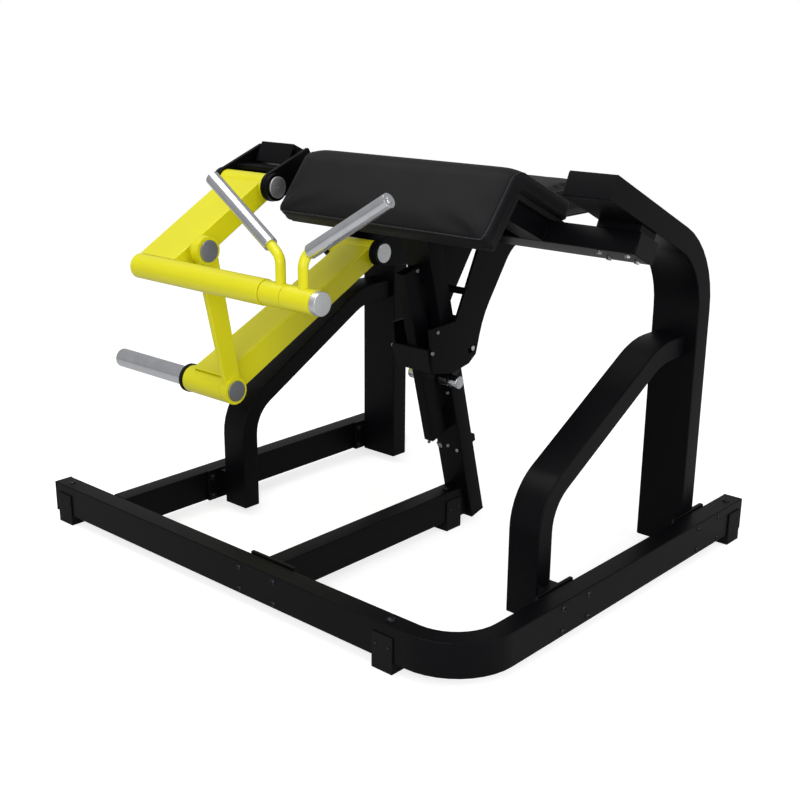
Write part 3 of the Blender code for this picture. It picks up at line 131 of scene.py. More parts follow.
camera = bpy.data.objects.new("camera", bpy.data.cameras.new("camera"))
camera.location = CAMERA_PLACE
camera.rotation_euler = Euler((math.pi / 2 - CAMERA_DIP, 0.0, CAMERA_TURN))
camera.data.lens = CAMERA_LENS
camera.data.shift_x, camera.data.shift_y = CAMERA_SHIFT
scene.collection.objects.link(camera)
scene.camera = camera
scene.view_settings.view_transform = "Standard"

world = bpy.data.worlds.new("white_studio")
world.use_nodes = True
scene.world = world
sky = world.node_tree
sky.nodes.clear()
level = add(sky, "ShaderNodeMath", {0: seen_rays(sky), 1: ROOM_LIGHT}, operation="MAXIMUM")
gloss_dim = add(sky, "ShaderNodeLightPath").outputs["Is Glossy Ray"]
dimmed = add(sky, "ShaderNodeMix", {"Factor": gloss_dim, 2: level.outputs[0], 3: GLOSS_SHARE})
backdrop = add(sky, "ShaderNodeBackground", {"Color": colour("ffffff"), "Strength": dimmed.outputs[0]})
add(sky, "ShaderNodeOutputWorld", {"Surface": backdrop.outputs[0]})

for lamp_name, place, target, size, power in LAMPS:
    light = bpy.data.lights.new(lamp_name, "AREA")
    light.size = size
    light.energy = power
    lamp = bpy.data.objects.new(lamp_name, light)
    lamp.location = place
    lamp.rotation_euler = (Vector(target) - Vector(place)).to_track_quat("-Z", "Y").to_euler()
    scene.collection.objects.link(lamp)

floor_mesh = bmesh.new()
bmesh.ops.create_grid(floor_mesh, x_segments=1, y_segments=1, size=FLOOR_HALF)
floor = bpy.data.objects.new("floor", bpy.data.meshes.new("floor"))
floor_mesh.to_mesh(floor.data)
floor_mesh.free()
floor_look = bpy.data.materials.new("matt_white_floor")
floor_look.use_nodes = True
tree = floor_look.node_tree
tree.nodes.clear()
lift = add(tree, "ShaderNodeMath", {0: seen_rays(tree), 1: FLOOR_LIFT}, operation="MULTIPLY")
matt = add(tree, "ShaderNodeBsdfDiffuse", {"Color": colour("cccccc")})
glow = add(tree, "ShaderNodeEmission", {"Color": colour("ffffff"), "Strength": lift.outputs[0]})
both = add(tree, "ShaderNodeAddShader", {0: matt.outputs[0], 1: glow.outputs[0]})
add(tree, "ShaderNodeOutputMaterial", {"Surface": both.outputs[0]})
floor.data.materials.append(floor_look)
scene.collection.objects.link(floor)


# The welded frame. Mild steel box section, bent and welded with its flange plates, then powder
# coated in satin black: a thin, slightly rippled skin with round edges and a soft dull gloss.
COAT_RIPPLE = 0.004
COAT_GRAIN = 0.0012
COAT_DULL = 0.18
EDGE_ROUND = 0.0008
SMOOTH_BELOW = math.radians(50.0)
ROUND_ABOVE = math.radians(62.0)
FLAT_WITHIN = math.radians(0.6)
SAME_PLACE = 0.00002


def powder_coat(name, code, dull, gloss, clear, ripple):
    """Cured powder paint on steel: its ripple and grain catch the light, its colour hardly changes."""
    look, place = new_look(name, {"Specular IOR Level": gloss, "Coat Weight": clear,
                                  "Coat Roughness": COAT_DULL})
    tree = look.node_tree
    broad = add(tree, "ShaderNodeTexNoise", {"Vector": place, "Scale": 5.0, "Detail": 3.0})
    paint = colour(code)
    deep = tuple(part * 0.86 for part in paint[:3]) + (1.0,)
    tint = add(tree, "ShaderNodeMix", {"Factor": broad.outputs["Fac"], 6: deep, 7: paint}, data_type="RGBA")
    grain = add(tree, "ShaderNodeTexNoise", {"Vector": place, "Scale": 1.0 / COAT_GRAIN, "Detail": 2.0})
    sheen = add(tree, "ShaderNodeMapRange", {"Value": grain.outputs["Fac"], "To Min": dull - 0.06,
                                             "To Max": dull + 0.06})
    peel = add(tree, "ShaderNodeTexNoise", {"Vector": place, "Scale": 1.0 / COAT_RIPPLE, "Detail": 1.0})
    relief = add(tree, "ShaderNodeBump", {"Height": peel.outputs["Fac"], "Strength": ripple,
                                          "Distance": 0.0006})
    fine = add(tree, "ShaderNodeBump", {"Height": grain.outputs["Fac"], "Strength": ripple / 2,
                                        "Distance": 0.0002, "Normal": relief.outputs[0]})
    return finished(look, tint.outputs[2], sheen.outputs[0], fine.outputs[0])


def keep(piece, body, slot, *stands_for):
    """Puts a finished piece on the body it moves with and hides the solids it stands for. The slot for its
    finish is not used.
    """
    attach(piece, body)
    if stands_for:
        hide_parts(*stands_for)
    return piece


def body_of(node):
    """The body that a solid of the frame belongs to."""
    return frame["nodes"][node]["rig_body"]


def merged(node):
    """A closed copy of a solid of the frame, with its flat faces whole."""
    solid = bmesh.new()
    solid.from_mesh(frame["nodes"][node].data)
    bmesh.ops.remove_doubles(solid, verts=solid.verts, dist=SAME_PLACE)
    bmesh.ops.dissolve_limit(solid, angle_limit=FLAT_WITHIN, verts=solid.verts, edges=solid.edges)
    return solid


def new_piece(name, solid, look):
    """Makes a piece of the scene out of mesh data that lies in its place."""
    mesh = bpy.data.meshes.new(name)
    solid.to_mesh(mesh)
    solid.free()
    mesh.materials.append(look)
    piece = bpy.data.objects.new(name, mesh)
    scene.collection.objects.link(piece)
    return piece


def plain(piece):
    """Turns what a piece's modifiers make into its plain mesh."""
    ready = piece.evaluated_get(bpy.context.evaluated_depsgraph_get())
    mesh = bpy.data.meshes.new_from_object(ready)
    piece.modifiers.clear()
    piece.data = mesh
    return piece


def smooth(piece, below=SMOOTH_BELOW):
    """Shades a piece smooth across its shallow edges, with its broad faces kept flat."""
    piece.data.shade_smooth()
    piece.data.set_sharp_from_angle(angle=below)
    even = piece.modifiers.new("even_faces", "WEIGHTED_NORMAL")
    even.keep_sharp = True
    return piece


def coated(node, look, slot, edge=EDGE_ROUND):
    """Stands for a solid of the frame with rounded, painted edges."""
    piece = new_piece(node + "_finished", merged(node), look)
    rounding = piece.modifiers.new("rounding", "BEVEL")
    rounding.width = edge
    rounding.segments = 2
    rounding.limit_method = "ANGLE"
    rounding.angle_limit = ROUND_ABOVE
    return keep(smooth(plain(piece)), body_of(node), slot, node)


black_coat = powder_coat("satin_black_powder_coat", "07070a", 0.40, 0.10, 0.0, 0.10)
FRAME_STEEL = ("base_rail", "left_beam", "middle_beam", "left_post", "right_post", "left_brace",
               "right_brace", "crossbar", "seat_column", "guide_rail", "seat_rack",
               "upper_fork_outer_cheek", "upper_fork_inner_cheek", "lower_fork_outer_cheek",
               "lower_fork_inner_cheek")
for node in FRAME_STEEL:
    coated(node, black_coat, "black_paint")


# The feet and plugs. Feet are moulded rubber shoes under the beams; the beams' open ends and the
# column's foot are closed by pressed-in polyethylene plugs with a fine moulded grain.
def moulded(name, code, dull, grain_size, depth):
    """Moulded rubber or plastic, with the faint pitted grain of its mould."""
    look, place = new_look(name, {"Specular IOR Level": 0.16})
    tree = look.node_tree
    pits = add(tree, "ShaderNodeTexVoronoi", {"Vector": place, "Scale": 1.0 / grain_size})
    haze = add(tree, "ShaderNodeTexNoise", {"Vector": place, "Scale": 40.0, "Detail": 4.0})
    base = colour(code)
    dusty = tuple(part * 1.35 for part in base[:3]) + (1.0,)
    tint = add(tree, "ShaderNodeMix", {"Factor": haze.outputs["Fac"], 6: base, 7: dusty}, data_type="RGBA")
    rough = add(tree, "ShaderNodeMapRange", {"Value": haze.outputs["Fac"], "To Min": dull - 0.08,
                                             "To Max": dull + 0.08})
    relief = add(tree, "ShaderNodeBump", {"Height": pits.outputs["Distance"], "Strength": depth,
                                          "Distance": 0.0003})
    return finished(look, tint.outputs[2], rough.outputs[0], relief.outputs[0])


SHOE_EDGE = 0.0012
PLUG_EDGE = 0.0010
shoe_rubber = moulded("moulded_black_rubber", "0b0b0b", 0.62, 0.0016, 0.30)
plug_plastic = moulded("black_polyethylene", "0c0c0e", 0.48, 0.0010, 0.18)
for node in ("front_left_foot", "front_right_foot", "rear_left_foot", "rear_right_foot", "centre_foot"):
    coated(node, shoe_rubber, "black_rubber", SHOE_EDGE)
for node in ("rail_front_plug", "rail_rear_plug", "left_beam_plug", "column_plug", "front_glide",
             "left_rear_glide", "right_rear_glide"):
    coated(node, plug_plastic, "black_plastic", PLUG_EDGE)


# The crossbar's end caps. Two thin plastic covers, pushed into the open ends of the tilted bar.
CAP_THICK = 0.003
CAP_INSET = 0.0006
BAR_MIDDLE = (0.185, 0.0428)
BAR_HALF = (0.040, 0.025)
ARM_TILT = math.radians(25.0)
ARM_UNDERSIDE = (-0.15012, 0.90958)
CAP_EDGE = 0.0012
bar_low, bar_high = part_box("crossbar")


def on_bar(along, below):
    """Y and Z of a point back along the underside of the post's arm and down from it."""
    start = Vector(ARM_UNDERSIDE)
    back = Vector((math.cos(ARM_TILT), -math.sin(ARM_TILT)))
    down = Vector((-math.sin(ARM_TILT), -math.cos(ARM_TILT)))
    return start + back * along + down * below


for side, sign in (("left", -1.0), ("right", 1.0)):
    cap = bmesh.new()
    bmesh.ops.create_cube(cap, size=1.0)
    end = bar_high.x if sign > 0 else -bar_low.x
    turn = Matrix.Rotation(-ARM_TILT, 4, "X")
    middle = on_bar(*BAR_MIDDLE)
    size = Matrix.Diagonal((CAP_THICK, 2 * (BAR_HALF[0] - CAP_INSET), 2 * (BAR_HALF[1] - CAP_INSET), 1.0))
    cap.transform(Matrix.Translation((sign * (end + CAP_THICK / 2), *middle)) @ turn @ size)
    piece = new_piece(f"{side}_crossbar_cap", cap, plug_plastic)
    rounding = piece.modifiers.new("rounding", "BEVEL")
    rounding.width = CAP_EDGE
    rounding.segments = 3
    keep(smooth(plain(piece)), "frame", "black_plastic")


# The fasteners. Black button bolts hold the flanges, with hexagon nuts and washers behind them, and
# bright hexagon bolts the crossbar. Low domed bolts hold the feet, and small screws pin the shoes.
def turned(name, profile, look, sides=48, place=(0.0, 0.0, 0.0), along=(0.0, 0.0, 1.0)):
    """A lathed piece: (distance along the axis, radius) points turned about an axis."""
    solid = bmesh.new()
    points = [solid.verts.new((radius, 0.0, distance)) for distance, radius in profile]
    edges = [solid.edges.new(pair) for pair in zip(points, points[1:])]
    bmesh.ops.spin(solid, geom=points + edges, cent=(0, 0, 0), axis=(0, 0, 1), angle=2 * math.pi,
                   steps=sides, use_duplicate=False)
    bmesh.ops.remove_doubles(solid, verts=solid.verts, dist=0.000001)
    bmesh.ops.recalc_face_normals(solid, faces=solid.faces)
    turn = Vector((0.0, 0.0, 1.0)).rotation_difference(Vector(along).normalized()).to_matrix().to_4x4()
    solid.transform(Matrix.Translation(place) @ turn)
    return new_piece(name, solid, look)


def joined(name, *pieces):
    """One mesh out of several, for a head with its washer."""
    solid = bmesh.new()
    for piece in pieces:
        solid.from_mesh(piece.data)
    look = pieces[0].data.materials[0]
    for piece in pieces:
        bpy.data.objects.remove(piece)
    return new_piece(name, solid, look)


def fastener_tree():
    """Sets a head on every place, facing out of its surface and turned about its own axis at random."""
    tree = bpy.data.node_groups.new("fasteners", "GeometryNodeTree")
    for name, kind in (("Places", "Geometry"), ("Head", "Object"), ("Size", "Float"), ("Seed", "Int"),
                       ("Finish", "Material")):
        tree.interface.new_socket(name, in_out="INPUT", socket_type="NodeSocket" + kind)
    tree.interface.new_socket("Fasteners", in_out="OUTPUT", socket_type="NodeSocketGeometry")
    given = add(tree, "NodeGroupInput").outputs
    facing = add(tree, "GeometryNodeInputNamedAttribute", {"Name": "facing"}, data_type="FLOAT_VECTOR")
    upright = add(tree, "FunctionNodeAlignRotationToVector", {"Vector": facing.outputs[0]}, axis="Z")
    chance = add(tree, "FunctionNodeRandomValue", {2: 0.0, 3: math.pi / 3, "Seed": given["Seed"]},
                 data_type="FLOAT")
    swing = add(tree, "ShaderNodeCombineXYZ", {"Z": chance.outputs[1]})
    turn = add(tree, "FunctionNodeEulerToRotation", {0: swing.outputs[0]})
    aimed = add(tree, "FunctionNodeRotateRotation",
                {"Rotation": upright.outputs[0], "Rotate By": turn.outputs[0]}, rotation_space="LOCAL")
    head = add(tree, "GeometryNodeObjectInfo", {"Object": given["Head"]})
    set_out = add(tree, "GeometryNodeInstanceOnPoints",
                  {"Points": given["Places"], "Instance": head.outputs["Geometry"],
                   "Rotation": aimed.outputs[0], "Scale": given["Size"]})
    real = add(tree, "GeometryNodeRealizeInstances", {"Geometry": set_out.outputs[0]})
    painted = add(tree, "GeometryNodeSetMaterial", {"Geometry": real.outputs[0], "Material": given["Finish"]})
    add(tree, "NodeGroupOutput", {"Fasteners": painted.outputs[0]})
    return tree


fasteners = fastener_tree()
HEAD_SMOOTH = math.radians(30.0)
TURNED_SMOOTH = math.radians(35.0)
NUT_SCALE = 0.8
CROSSBAR_BOLT_SCALE = 0.6
SOCKET_BOLT_SCALE = 0.7


def fasten(name, head, places, look, body, slot, size=1.0, seed=1):
    """Puts a copy of a head at each (place, facing) pair and keeps them as one piece of a body."""
    mesh = bpy.data.meshes.new(name)
    mesh.from_pydata([place for place, _ in places], [], [])
    facing = mesh.attributes.new("facing", "FLOAT_VECTOR", "POINT")
    facing.data.foreach_set("vector", [part for _, way in places for part in way])
    piece = bpy.data.objects.new(name, mesh)
    scene.collection.objects.link(piece)
    spread = piece.modifiers.new("spread", "NODES")
    spread.node_group = fasteners
    given = {"Head": head, "Size": size, "Seed": seed, "Finish": look}
    for item in fasteners.interface.items_tree:
        if item.in_out == "INPUT" and item.name in given:
            spread[item.identifier] = given[item.name]
    plain(piece)
    return keep(smooth(piece, HEAD_SMOOTH), body, slot)


def plated(name, code, dull, streak):
    """Plated or bare machined steel, with a little colour and gloss variation from handling."""
    look, place = new_look(name, {"Metallic": 1.0})
    tree = look.node_tree
    cloud = add(tree, "ShaderNodeTexNoise", {"Vector": place, "Scale": 60.0, "Detail": 5.0})
    scratch = add(tree, "ShaderNodeTexNoise", {"Vector": place, "Scale": 900.0, "Detail": 2.0})
    bright = colour(code)
    dark = tuple(part * 0.72 for part in bright[:3]) + (1.0,)
    tint = add(tree, "ShaderNodeMix", {"Factor": cloud.outputs["Fac"], 6: dark, 7: bright}, data_type="RGBA")
    rough = add(tree, "ShaderNodeMapRange", {"Value": cloud.outputs["Fac"], "To Min": dull + 0.08,
                                             "To Max": dull - 0.04})
    relief = add(tree, "ShaderNodeBump", {"Height": scratch.outputs["Fac"], "Strength": streak,
                                          "Distance": 0.0001})
    return finished(look, tint.outputs[2], rough.outputs[0], relief.outputs[0])


black_zinc = plated("black_zinc_plate", "3c3c40", 0.36, 0.15)
bright_zinc = plated("bright_zinc_plate", "b4b6b8", 0.30, 0.15)
BOLT_FLATS = 0.019
WASHER_RADIUS = 0.0125
hex_part = turned("hex_part", ((0.0022, 0.0), (0.0022, BOLT_FLATS / 1.732), (0.0084, BOLT_FLATS / 1.732),
                               (0.0094, BOLT_FLATS / 2.1), (0.0094, 0.0)), black_zinc, 6)
washer_part = turned("washer_part", ((0.0, 0.0), (0.0, WASHER_RADIUS), (0.0018, WASHER_RADIUS),
                                     (0.0022, WASHER_RADIUS - 0.0006), (0.0022, 0.0)), black_zinc, 32)
hex_bolt = joined("hex_bolt", hex_part, washer_part)
dome_bolt = turned("dome_bolt", ((0.0, 0.0), (0.0, 0.0090), (0.0008, 0.0090), (0.0026, 0.0078),
                                 (0.0042, 0.0054), (0.0048, 0.0034), (0.0034, 0.0032), (0.0030, 0.0)),
                   black_zinc, 32)
small_screw = turned("small_screw", ((0.0, 0.0), (0.0, 0.0036), (0.0012, 0.0034), (0.0022, 0.0020),
                                     (0.0014, 0.0015), (0.0014, 0.0)), black_zinc, 24)

BEAM_HALF = 0.025
BEAM_TOP = 0.105
base_low, base_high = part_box("base_rail")
front_y = base_low.y
beam_x = base_high.x - BEAM_HALF
feet = {node: (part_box(node)[0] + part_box(node)[1]) / 2 for node in
        ("front_left_foot", "front_right_foot", "rear_left_foot", "rear_right_foot", "centre_foot")}
UP = (0.0, 0.0, 1.0)
fasten("foot_bolts", dome_bolt, [((spot.x, spot.y, BEAM_TOP), UP) for spot in feet.values()],
       black_zinc, "frame", "black_paint", seed=3)
SCREW_HEIGHT = 0.058
SCREW_SPREAD = 0.017
shoe_screws = []
for node, spot in feet.items():
    low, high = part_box(node)
    for shift in (-SCREW_SPREAD, SCREW_SPREAD):
        if node.startswith("front"):
            shoe_screws.append(((spot.x + shift, low.y, SCREW_HEIGHT), (0.0, -1.0, 0.0)))
            shoe_screws.append(((spot.x + shift, high.y, SCREW_HEIGHT), (0.0, 1.0, 0.0)))
        else:
            shoe_screws.append(((low.x, spot.y + shift, SCREW_HEIGHT), (-1.0, 0.0, 0.0)))
            shoe_screws.append(((high.x, spot.y + shift, SCREW_HEIGHT), (1.0, 0.0, 0.0)))
fasten("shoe_screws", small_screw, shoe_screws, black_zinc, "frame", "black_paint", seed=5)

FLANGE_ROWS = (0.037, 0.090)
POST_BOLTS = (0.896, 0.995)
BRACE_BOLTS = (0.327, 0.421)
MIDDLE_BOLT_X = 0.056
POST_FLANGE_FACE = 0.5315
BRACE_FLANGE_FACE = 0.5334
MIDDLE_FLANGE_FACE = 0.0601
heads, nuts = [], []
for sign in (-1.0, 1.0):
    for places, face in ((POST_BOLTS, POST_FLANGE_FACE), (BRACE_BOLTS, BRACE_FLANGE_FACE)):
        for back in places:
            for height in FLANGE_ROWS:
                heads.append(((sign * (beam_x + BEAM_HALF), front_y + back, height), (sign, 0.0, 0.0)))
                nuts.append(((sign * face, front_y + back, height), (-sign, 0.0, 0.0)))
    for height in FLANGE_ROWS:
        heads.append(((sign * MIDDLE_BOLT_X, front_y, height), (0.0, -1.0, 0.0)))
        nuts.append(((sign * MIDDLE_BOLT_X, front_y + MIDDLE_FLANGE_FACE, height), (0.0, 1.0, 0.0)))
button_bolt = turned("button_bolt", ((0.0, 0.0), (0.0, 0.0066), (0.0006, 0.0068), (0.0022, 0.0052),
                                     (0.0030, 0.0032), (0.0016, 0.0030), (0.0016, 0.0)), black_zinc, 32)
fasten("flange_bolts", button_bolt, heads, black_zinc, "frame", "black_paint", seed=7)
fasten("flange_nuts", hex_bolt, nuts, black_zinc, "frame", "black_paint", NUT_SCALE, seed=11)

POST_MIDDLE = 0.473
CROSSBAR_BOLT_X = 0.035
CROSSBAR_BOLT_ROWS = (0.163, 0.207)
BAR_UNDERSIDE = 0.0678
down = (0.0, -math.sin(ARM_TILT), -math.cos(ARM_TILT))
under_bar = [((sign * POST_MIDDLE + shift, *on_bar(row, BAR_UNDERSIDE)), down)
             for sign in (-1.0, 1.0) for shift in (-CROSSBAR_BOLT_X, CROSSBAR_BOLT_X)
             for row in CROSSBAR_BOLT_ROWS]
fasten("crossbar_bolts", hex_bolt, under_bar, bright_zinc, "frame", "bare_steel", CROSSBAR_BOLT_SCALE,
       seed=13)
for head in (hex_bolt, dome_bolt, small_screw, button_bolt):
    bpy.data.objects.remove(head)


# The lift arm and the weight lever. Laser-cut and welded steel boxes with hubs, in bright yellow
# powder coat, which is glossier and smoother than the black.
LEVER_EDGE = 0.0010
yellow_coat = powder_coat("gloss_yellow_powder_coat", "e6e016", 0.30, 0.30, 0.12, 0.07)
for node in ("upper_arm", "handle_tube", "left_handle", "right_handle", "link_bar", "weight_arm",
             "weight_hub"):
    coated(node, yellow_coat, "yellow_paint", LEVER_EDGE)


# The pivots. Turned steel shafts and bushes inside, and satin steel cover discs outside, each
# faced on a lathe, with a small centre hole.
def lathe_faced(name, code, centre, ring):
    """Steel faced on a lathe: fine rings about a centre, and a cloudy satin surface."""
    look, place = new_look(name, {"Metallic": 1.0})
    tree = look.node_tree
    about = add(tree, "ShaderNodeMapping", {"Vector": place, "Location": tuple(-part for part in centre)})
    rings = add(tree, "ShaderNodeTexWave", {"Vector": about.outputs[0], "Scale": 1.0 / ring / 6.28},
                wave_type="RINGS", rings_direction="X")
    cloud = add(tree, "ShaderNodeTexNoise", {"Vector": place, "Scale": 420.0, "Detail": 4.0})
    bright = colour(code)
    dark = tuple(part * 0.62 for part in bright[:3]) + (1.0,)
    tint = add(tree, "ShaderNodeMix", {"Factor": cloud.outputs["Fac"], 6: dark, 7: bright}, data_type="RGBA")
    rough = add(tree, "ShaderNodeMapRange", {"Value": cloud.outputs["Fac"], "To Min": 0.50, "To Max": 0.34})
    relief = add(tree, "ShaderNodeBump", {"Height": rings.outputs["Fac"], "Strength": 0.25,
                                          "Distance": 0.0002})
    return finished(look, tint.outputs[2], rough.outputs[0], relief.outputs[0])


DISC_EDGE = 0.0014
CENTRE_HOLE = 0.0017
HOLE_DEPTH = 0.0016
TURNED_EDGE = 0.0005
# Painted light: every disc is the same faced steel, but each gets its own colour so that it shows the
# brightness it has where it sits. The upper pivot cap sits in shade and is painted white to make up for it,
# and the link caps are painted darker.
DISCS_WITH_PAINTED_LIGHT = (
    ("upper_pivot_cap", "ffffff"),
    ("upper_link_cap", "b4b6ba"),
    ("lower_link_cap", "b0b2b6"),
    ("lower_pivot_cap", "f2f4f6"),
    ("handle_end_cap", "f2f4f6"),
)
for node, code in DISCS_WITH_PAINTED_LIGHT:
    low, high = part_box(node)
    middle, depth, radius = (low + high) / 2, high.x - low.x, (high.z - low.z) / 2
    look = lathe_faced(node + "_faced_steel_painted_light", code, middle, 0.0009)
    profile = ((0.0, 0.0), (0.0, radius), (depth - DISC_EDGE, radius),
               (depth - DISC_EDGE / 3, radius - DISC_EDGE / 3), (depth, radius - DISC_EDGE),
               (depth, CENTRE_HOLE), (depth - HOLE_DEPTH, CENTRE_HOLE * 0.8), (depth - HOLE_DEPTH, 0.0))
    disc = turned(node + "_disc", profile, look, 64, (low.x, middle.y, middle.z), (1.0, 0.0, 0.0))
    keep(smooth(disc, TURNED_SMOOTH), body_of(node), "brushed_caps", node)
for node in ("upper_pivot_shaft", "lower_pivot_shaft", "handle_axle", "upper_arm_bush", "weight_arm_bush"):
    coated(node, bright_zinc, "bare_steel", TURNED_EDGE)
for node in ("left_release_link", "right_release_link"):
    coated(node, black_zinc, "bare_steel", TURNED_EDGE)


# The grips, knobs and plate horn. Chromed tube and bar, smooth on the horn and knobs, with a fine
# diamond knurl on the grips.
def chrome(name, knurl):
    """Hard chrome over polished steel, with a rolled diamond knurl where hands hold it."""
    look, place = new_look(name, {"Metallic": 1.0})
    tree = look.node_tree
    film = add(tree, "ShaderNodeTexNoise", {"Vector": place, "Scale": 30.0, "Detail": 6.0})
    ends = {"Factor": film.outputs["Fac"], 6: colour("c4c6ca"), 7: colour("e2e4e8")}
    tint = add(tree, "ShaderNodeMix", ends, data_type="RGBA")
    rough = add(tree, "ShaderNodeMapRange", {"Value": film.outputs["Fac"], "To Min": 0.14, "To Max": 0.26})
    marks = add(tree, "ShaderNodeTexVoronoi", {"Vector": place, "Scale": 620.0})
    relief = add(tree, "ShaderNodeBump", {"Height": marks.outputs["Distance"], "Strength": knurl,
                                          "Distance": 0.0003})
    return finished(look, tint.outputs[2], rough.outputs[0], relief.outputs[0])


CHROME_EDGE = 0.0008
COLLAR_EDGE = 0.0015
polished_chrome = chrome("polished_hard_chrome", 0.03)
knurled_chrome = chrome("knurled_hard_chrome", 0.30)
for node in ("left_grip", "right_grip"):
    coated(node, knurled_chrome, "chrome", CHROME_EDGE)
for node in ("weight_horn", "left_release_knob", "right_release_knob", "pawl_pin"):
    coated(node, polished_chrome, "chrome", CHROME_EDGE)
coated("horn_collar", shoe_rubber, "black_rubber", COLLAR_EDGE)


# The seat carriage. Two plates cut from 8 mm steel, tied by a bar and a tray, in the frame's satin
# black. Bright socket bolts sit on the plates, column and guide, and a sleeve beside each release link.
for node in ("left_seat_arm", "right_seat_arm", "seat_arm_spacer", "seat_plate"):
    coated(node, black_coat, "black_paint")
ARM_FACE = 0.062
ARM_BOLTS = ((0.5225, 0.5026), (0.5400, 0.5510))
COLUMN_BOLT_X = 0.0267
COLUMN_BOLTS = ((0.5854, 0.5378), (0.6280, 0.3754), (0.6707, 0.2128))
COLUMN_LEAN = math.radians(14.7)
GUIDE_FACE = 0.015
GUIDE_BOLTS = ((0.6095, 0.2416), (0.6455, 0.2300), (0.5180, 0.6960))
column_front = (0.0, -math.cos(COLUMN_LEAN), -math.sin(COLUMN_LEAN))
socket_bolt = turned("socket_bolt", ((0.0, 0.0), (0.0, 0.0070), (0.0040, 0.0070), (0.0046, 0.0064),
                                     (0.0046, 0.0036), (0.0020, 0.0034), (0.0020, 0.0)), bright_zinc, 32)
fasten("seat_arm_bolts", socket_bolt,
       [((sign * ARM_FACE, front_y + back, height), (sign, 0.0, 0.0)) for sign in (-1.0, 1.0)
        for back, height in ARM_BOLTS], bright_zinc, "seat_carriage", "bare_steel", SOCKET_BOLT_SCALE,
       seed=17)
fasten("column_bolts", socket_bolt,
       [((sign * COLUMN_BOLT_X, front_y + back, height), column_front) for sign in (-1.0, 1.0)
        for back, height in COLUMN_BOLTS]
       + [((sign * GUIDE_FACE, front_y + back, height), (sign, 0.0, 0.0)) for sign in (-1.0, 1.0)
          for back, height in GUIDE_BOLTS], bright_zinc, "frame", "bare_steel", SOCKET_BOLT_SCALE, seed=19)
bpy.data.objects.remove(socket_bolt)
SLEEVE_START = 0.0200
SLEEVE_END = 0.0442
SLEEVE_RADIUS = 0.0140
SLEEVE_EDGE = 0.001
SLEEVE_LENGTH = SLEEVE_END - SLEEVE_START
knob_low, knob_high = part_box("right_release_knob")
knob_middle = (knob_low + knob_high) / 2
for side, sign in (("left", -1.0), ("right", 1.0)):
    profile = ((0.0, 0.0), (0.0, SLEEVE_RADIUS - SLEEVE_EDGE), (SLEEVE_EDGE, SLEEVE_RADIUS),
               (SLEEVE_LENGTH, SLEEVE_RADIUS), (SLEEVE_LENGTH, 0.0))
    start = (sign * SLEEVE_START, knob_middle.y, knob_middle.z)
    sleeve = turned(f"{side}_release_sleeve", profile, polished_chrome, 48, start, (sign, 0.0, 0.0))
    keep(smooth(sleeve, TURNED_SMOOTH), "seat_release", "chrome")


# The arm pad. A 50 mm foam cushion folded over a ridge and wrapped in black vinyl, with rounded
# corners, a piped seam round its face, and a board behind it.
FOAM = 0.050
PAD_WIDTH = 0.640
FRONT_RUN = 0.15335
REAR_RUN = 0.20935
RIDGE_CENTRE = Vector((-0.15654, 0.90640))
RIDGE_INNER = 0.0003
FRONT_SLOPE = math.radians(51.5)
PAD_CORNER = 0.022
PAD_ROUND = 0.009
PAD_SWELL = 0.004
VOXEL = 0.007
FILL_STEPS = 20
FILL_PRESSURE = 4.0
PIPING = 0.0016


def vinyl(name, code):
    """Upholstery vinyl: a matt black skin with a pressed leather grain and soft wrinkles."""
    look, place = new_look(name, {"Specular IOR Level": 0.16, "Sheen Weight": 0.01,
                                  "Sheen Roughness": 0.4})
    tree = look.node_tree
    cells = add(tree, "ShaderNodeTexVoronoi", {"Vector": place, "Scale": 420.0}, feature="DISTANCE_TO_EDGE")
    crease = add(tree, "ShaderNodeMapRange", {"Value": cells.outputs["Distance"], "From Max": 0.25})
    fold = add(tree, "ShaderNodeTexNoise", {"Vector": place, "Scale": 9.0, "Detail": 2.0})
    base = colour(code)
    worn = tuple(part * 1.25 for part in base[:3]) + (1.0,)
    tint = add(tree, "ShaderNodeMix", {"Factor": fold.outputs["Fac"], 6: base, 7: worn}, data_type="RGBA")
    rough = add(tree, "ShaderNodeMapRange", {"Value": fold.outputs["Fac"], "To Min": 0.46, "To Max": 0.60})
    soft = add(tree, "ShaderNodeBump", {"Height": fold.outputs["Fac"], "Strength": 0.10, "Distance": 0.004})
    relief = add(tree, "ShaderNodeBump", {"Height": crease.outputs[0], "Strength": 0.22, "Distance": 0.0003,
                                          "Normal": soft.outputs[0]})
    return finished(look, tint.outputs[2], rough.outputs[0], relief.outputs[0])


black_vinyl = vinyl("black_upholstery_vinyl", "08080b")


